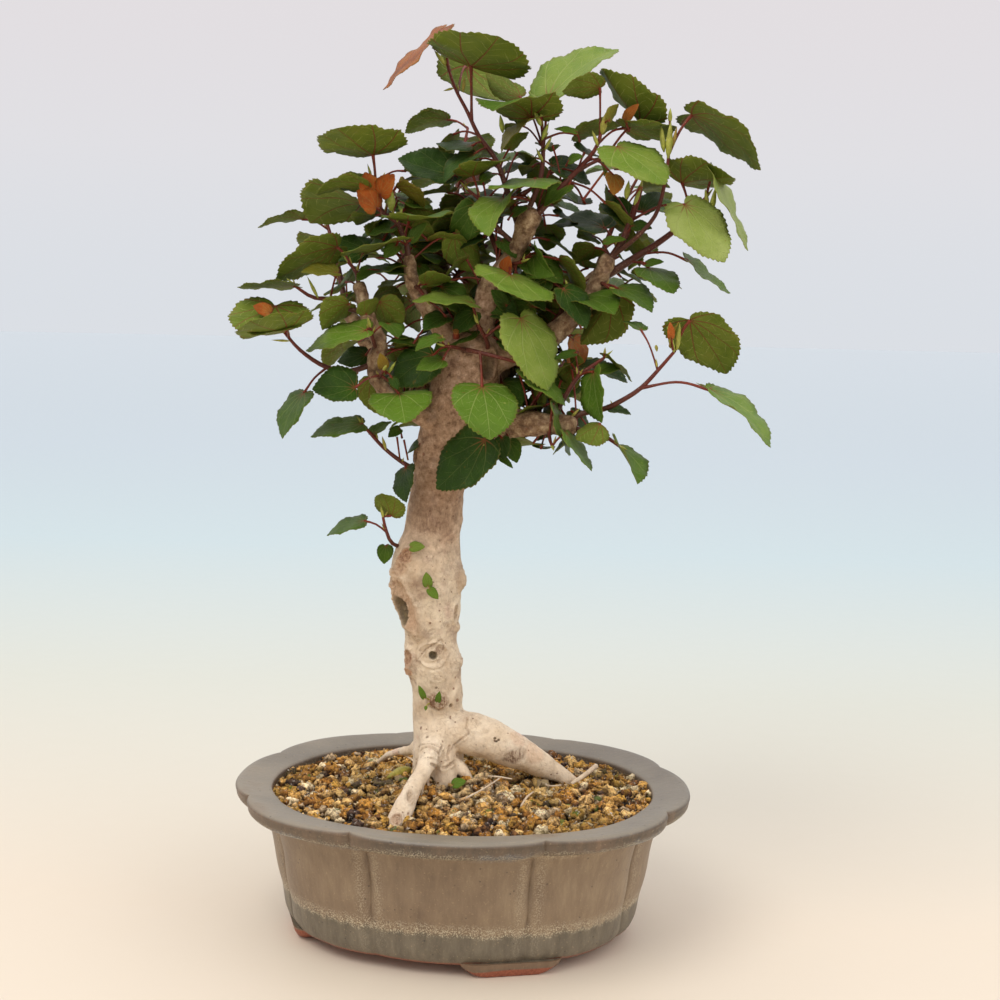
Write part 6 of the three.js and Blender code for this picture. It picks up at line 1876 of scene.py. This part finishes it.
def makeSprouts():
    sprig = newSprig()
    for start, base, tip, wide in trunkSprouts:
        spot, normal = spotOn(woodSurface, *start)
        spot = Vector(spot)
        away = Vector(normal) * 0.0022
        depth = (spot - potMiddle).y
        base = seen(*base, depth) + away
        tip = seen(*tip, depth) + away * 1.3
        middle = (spot + base) / 2 + up * 0.0004
        addLine(sprig, [spot, middle, base], [0.0004, 0.0003, 0.0003], 0.15, 0.1, 0.001)
        addBlade(sprig, base, tip, wide, 0, 0.72, kind="inner", facing=toward + up * 0.3)
    growSprig("trunkSprouts", sprig)


toward = frontTurn @ up  # to the front view's eye
makeFilling()
makeSmallGrowth()
makeSprouts()
for template in templates.values():
    bpy.data.objects.remove(template)

# Stage: a large pale floor, soft light and the camera

stage = {
    "floorReach": 40,
    "keyPower": 15.8,
    "fillPower": 6.0,
    "skyStrength": 1.0,
    "overhead": 0.45,  # extra light from above
}


def makeFloor():
    count = 64
    reach = stage["floorReach"]
    turns = [math.tau * k / count for k in range(count)]
    ring = [(reach * math.cos(turn), reach * math.sin(turn), 0) for turn in turns]
    floor = newObject("paleFloor", ring, [tuple(range(count))], smooth=False)
    tree, place, feed = newFinish("paleTable", 0.6)
    depth = maths("MAXIMUM", axes(place)["Y"], 0.0)
    depth = maths("DIVIDE", depth, plus(depth, 2.0))
    color = ramp(depth, (0.0, 222, 210, 189), (0.2, 209, 213, 200), (0.4, 200, 220, 222),
                 (0.6, 204, 221, 227), (1.0, 211, 225, 230))
    rough = scaled(noiseOf(place, 60, 3), 0.2, 0.5)
    floor.data.materials.append(feed({"Base Color": color, "Roughness": rough}))
    floor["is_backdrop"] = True


def areaLight(name, place, target, size, power, color):
    light = bpy.data.lights.new(name, "AREA")
    light.shape = "DISK"
    light.size = size
    light.energy = power
    light.color = color
    lamp = bpy.data.objects.new(name, light)
    lamp.location = place
    lamp.rotation_euler = (Vector(target) - Vector(place)).to_track_quat("-Z", "Y").to_euler()
    bpy.context.collection.objects.link(lamp)


def makeRoom():
    # pale light from all round, with more from above
    world = bpy.data.worlds.new("paleRoom")
    world.use_nodes = True
    tree = world.node_tree
    height = axes(addNode(tree, "ShaderNodeTexCoord")["Generated"])["Z"]
    color = ramp(fade(height, 0.0, 0.25), (0.0, 218, 222, 228), (0.45, 224, 223, 227), (1.0, 226, 221, 224))
    above = times(fade(height, 0.35, 0.75), stage["overhead"])
    back = tree.nodes["Background"].inputs
    setSocket(back["Color"], color)
    setSocket(back["Strength"], plus(above, stage["skyStrength"]))
    bpy.context.scene.world = world


def makeCamera():
    camera = bpy.data.cameras.new("frontCamera")
    camera.sensor_width = 36
    camera.lens = camera.sensor_width * frontView["focalLength"] / frontView["pictureSize"]
    camera.clip_end = 100
    rig = bpy.data.objects.new("frontCamera", camera)
    rig.matrix_world = Matrix.Translation(frontEye + potMiddle) @ frontTurn.to_4x4()
    bpy.context.collection.objects.link(rig)
    bpy.context.scene.camera = rig


makeFloor()
areaLight("keyLight", (-0.7, -0.9, 1.7), (0, 0, 0.2), 1.3, stage["keyPower"], (1.0, 0.98, 0.95))
areaLight("fillLight", (1.3, -0.7, 0.9), (0, 0, 0.2), 1.4, stage["fillPower"], (0.95, 0.97, 1.0))
makeRoom()
makeCamera()
bpy.context.scene.view_settings.view_transform = "Standard"
print("made the stage")

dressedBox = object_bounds()
sizes = {"cad": cadBox, "visual": dressedBox}
{name: [list(corner) for corner in box] for name, box in sizes.items()}
print("boxes", cadBox, dressedBox)
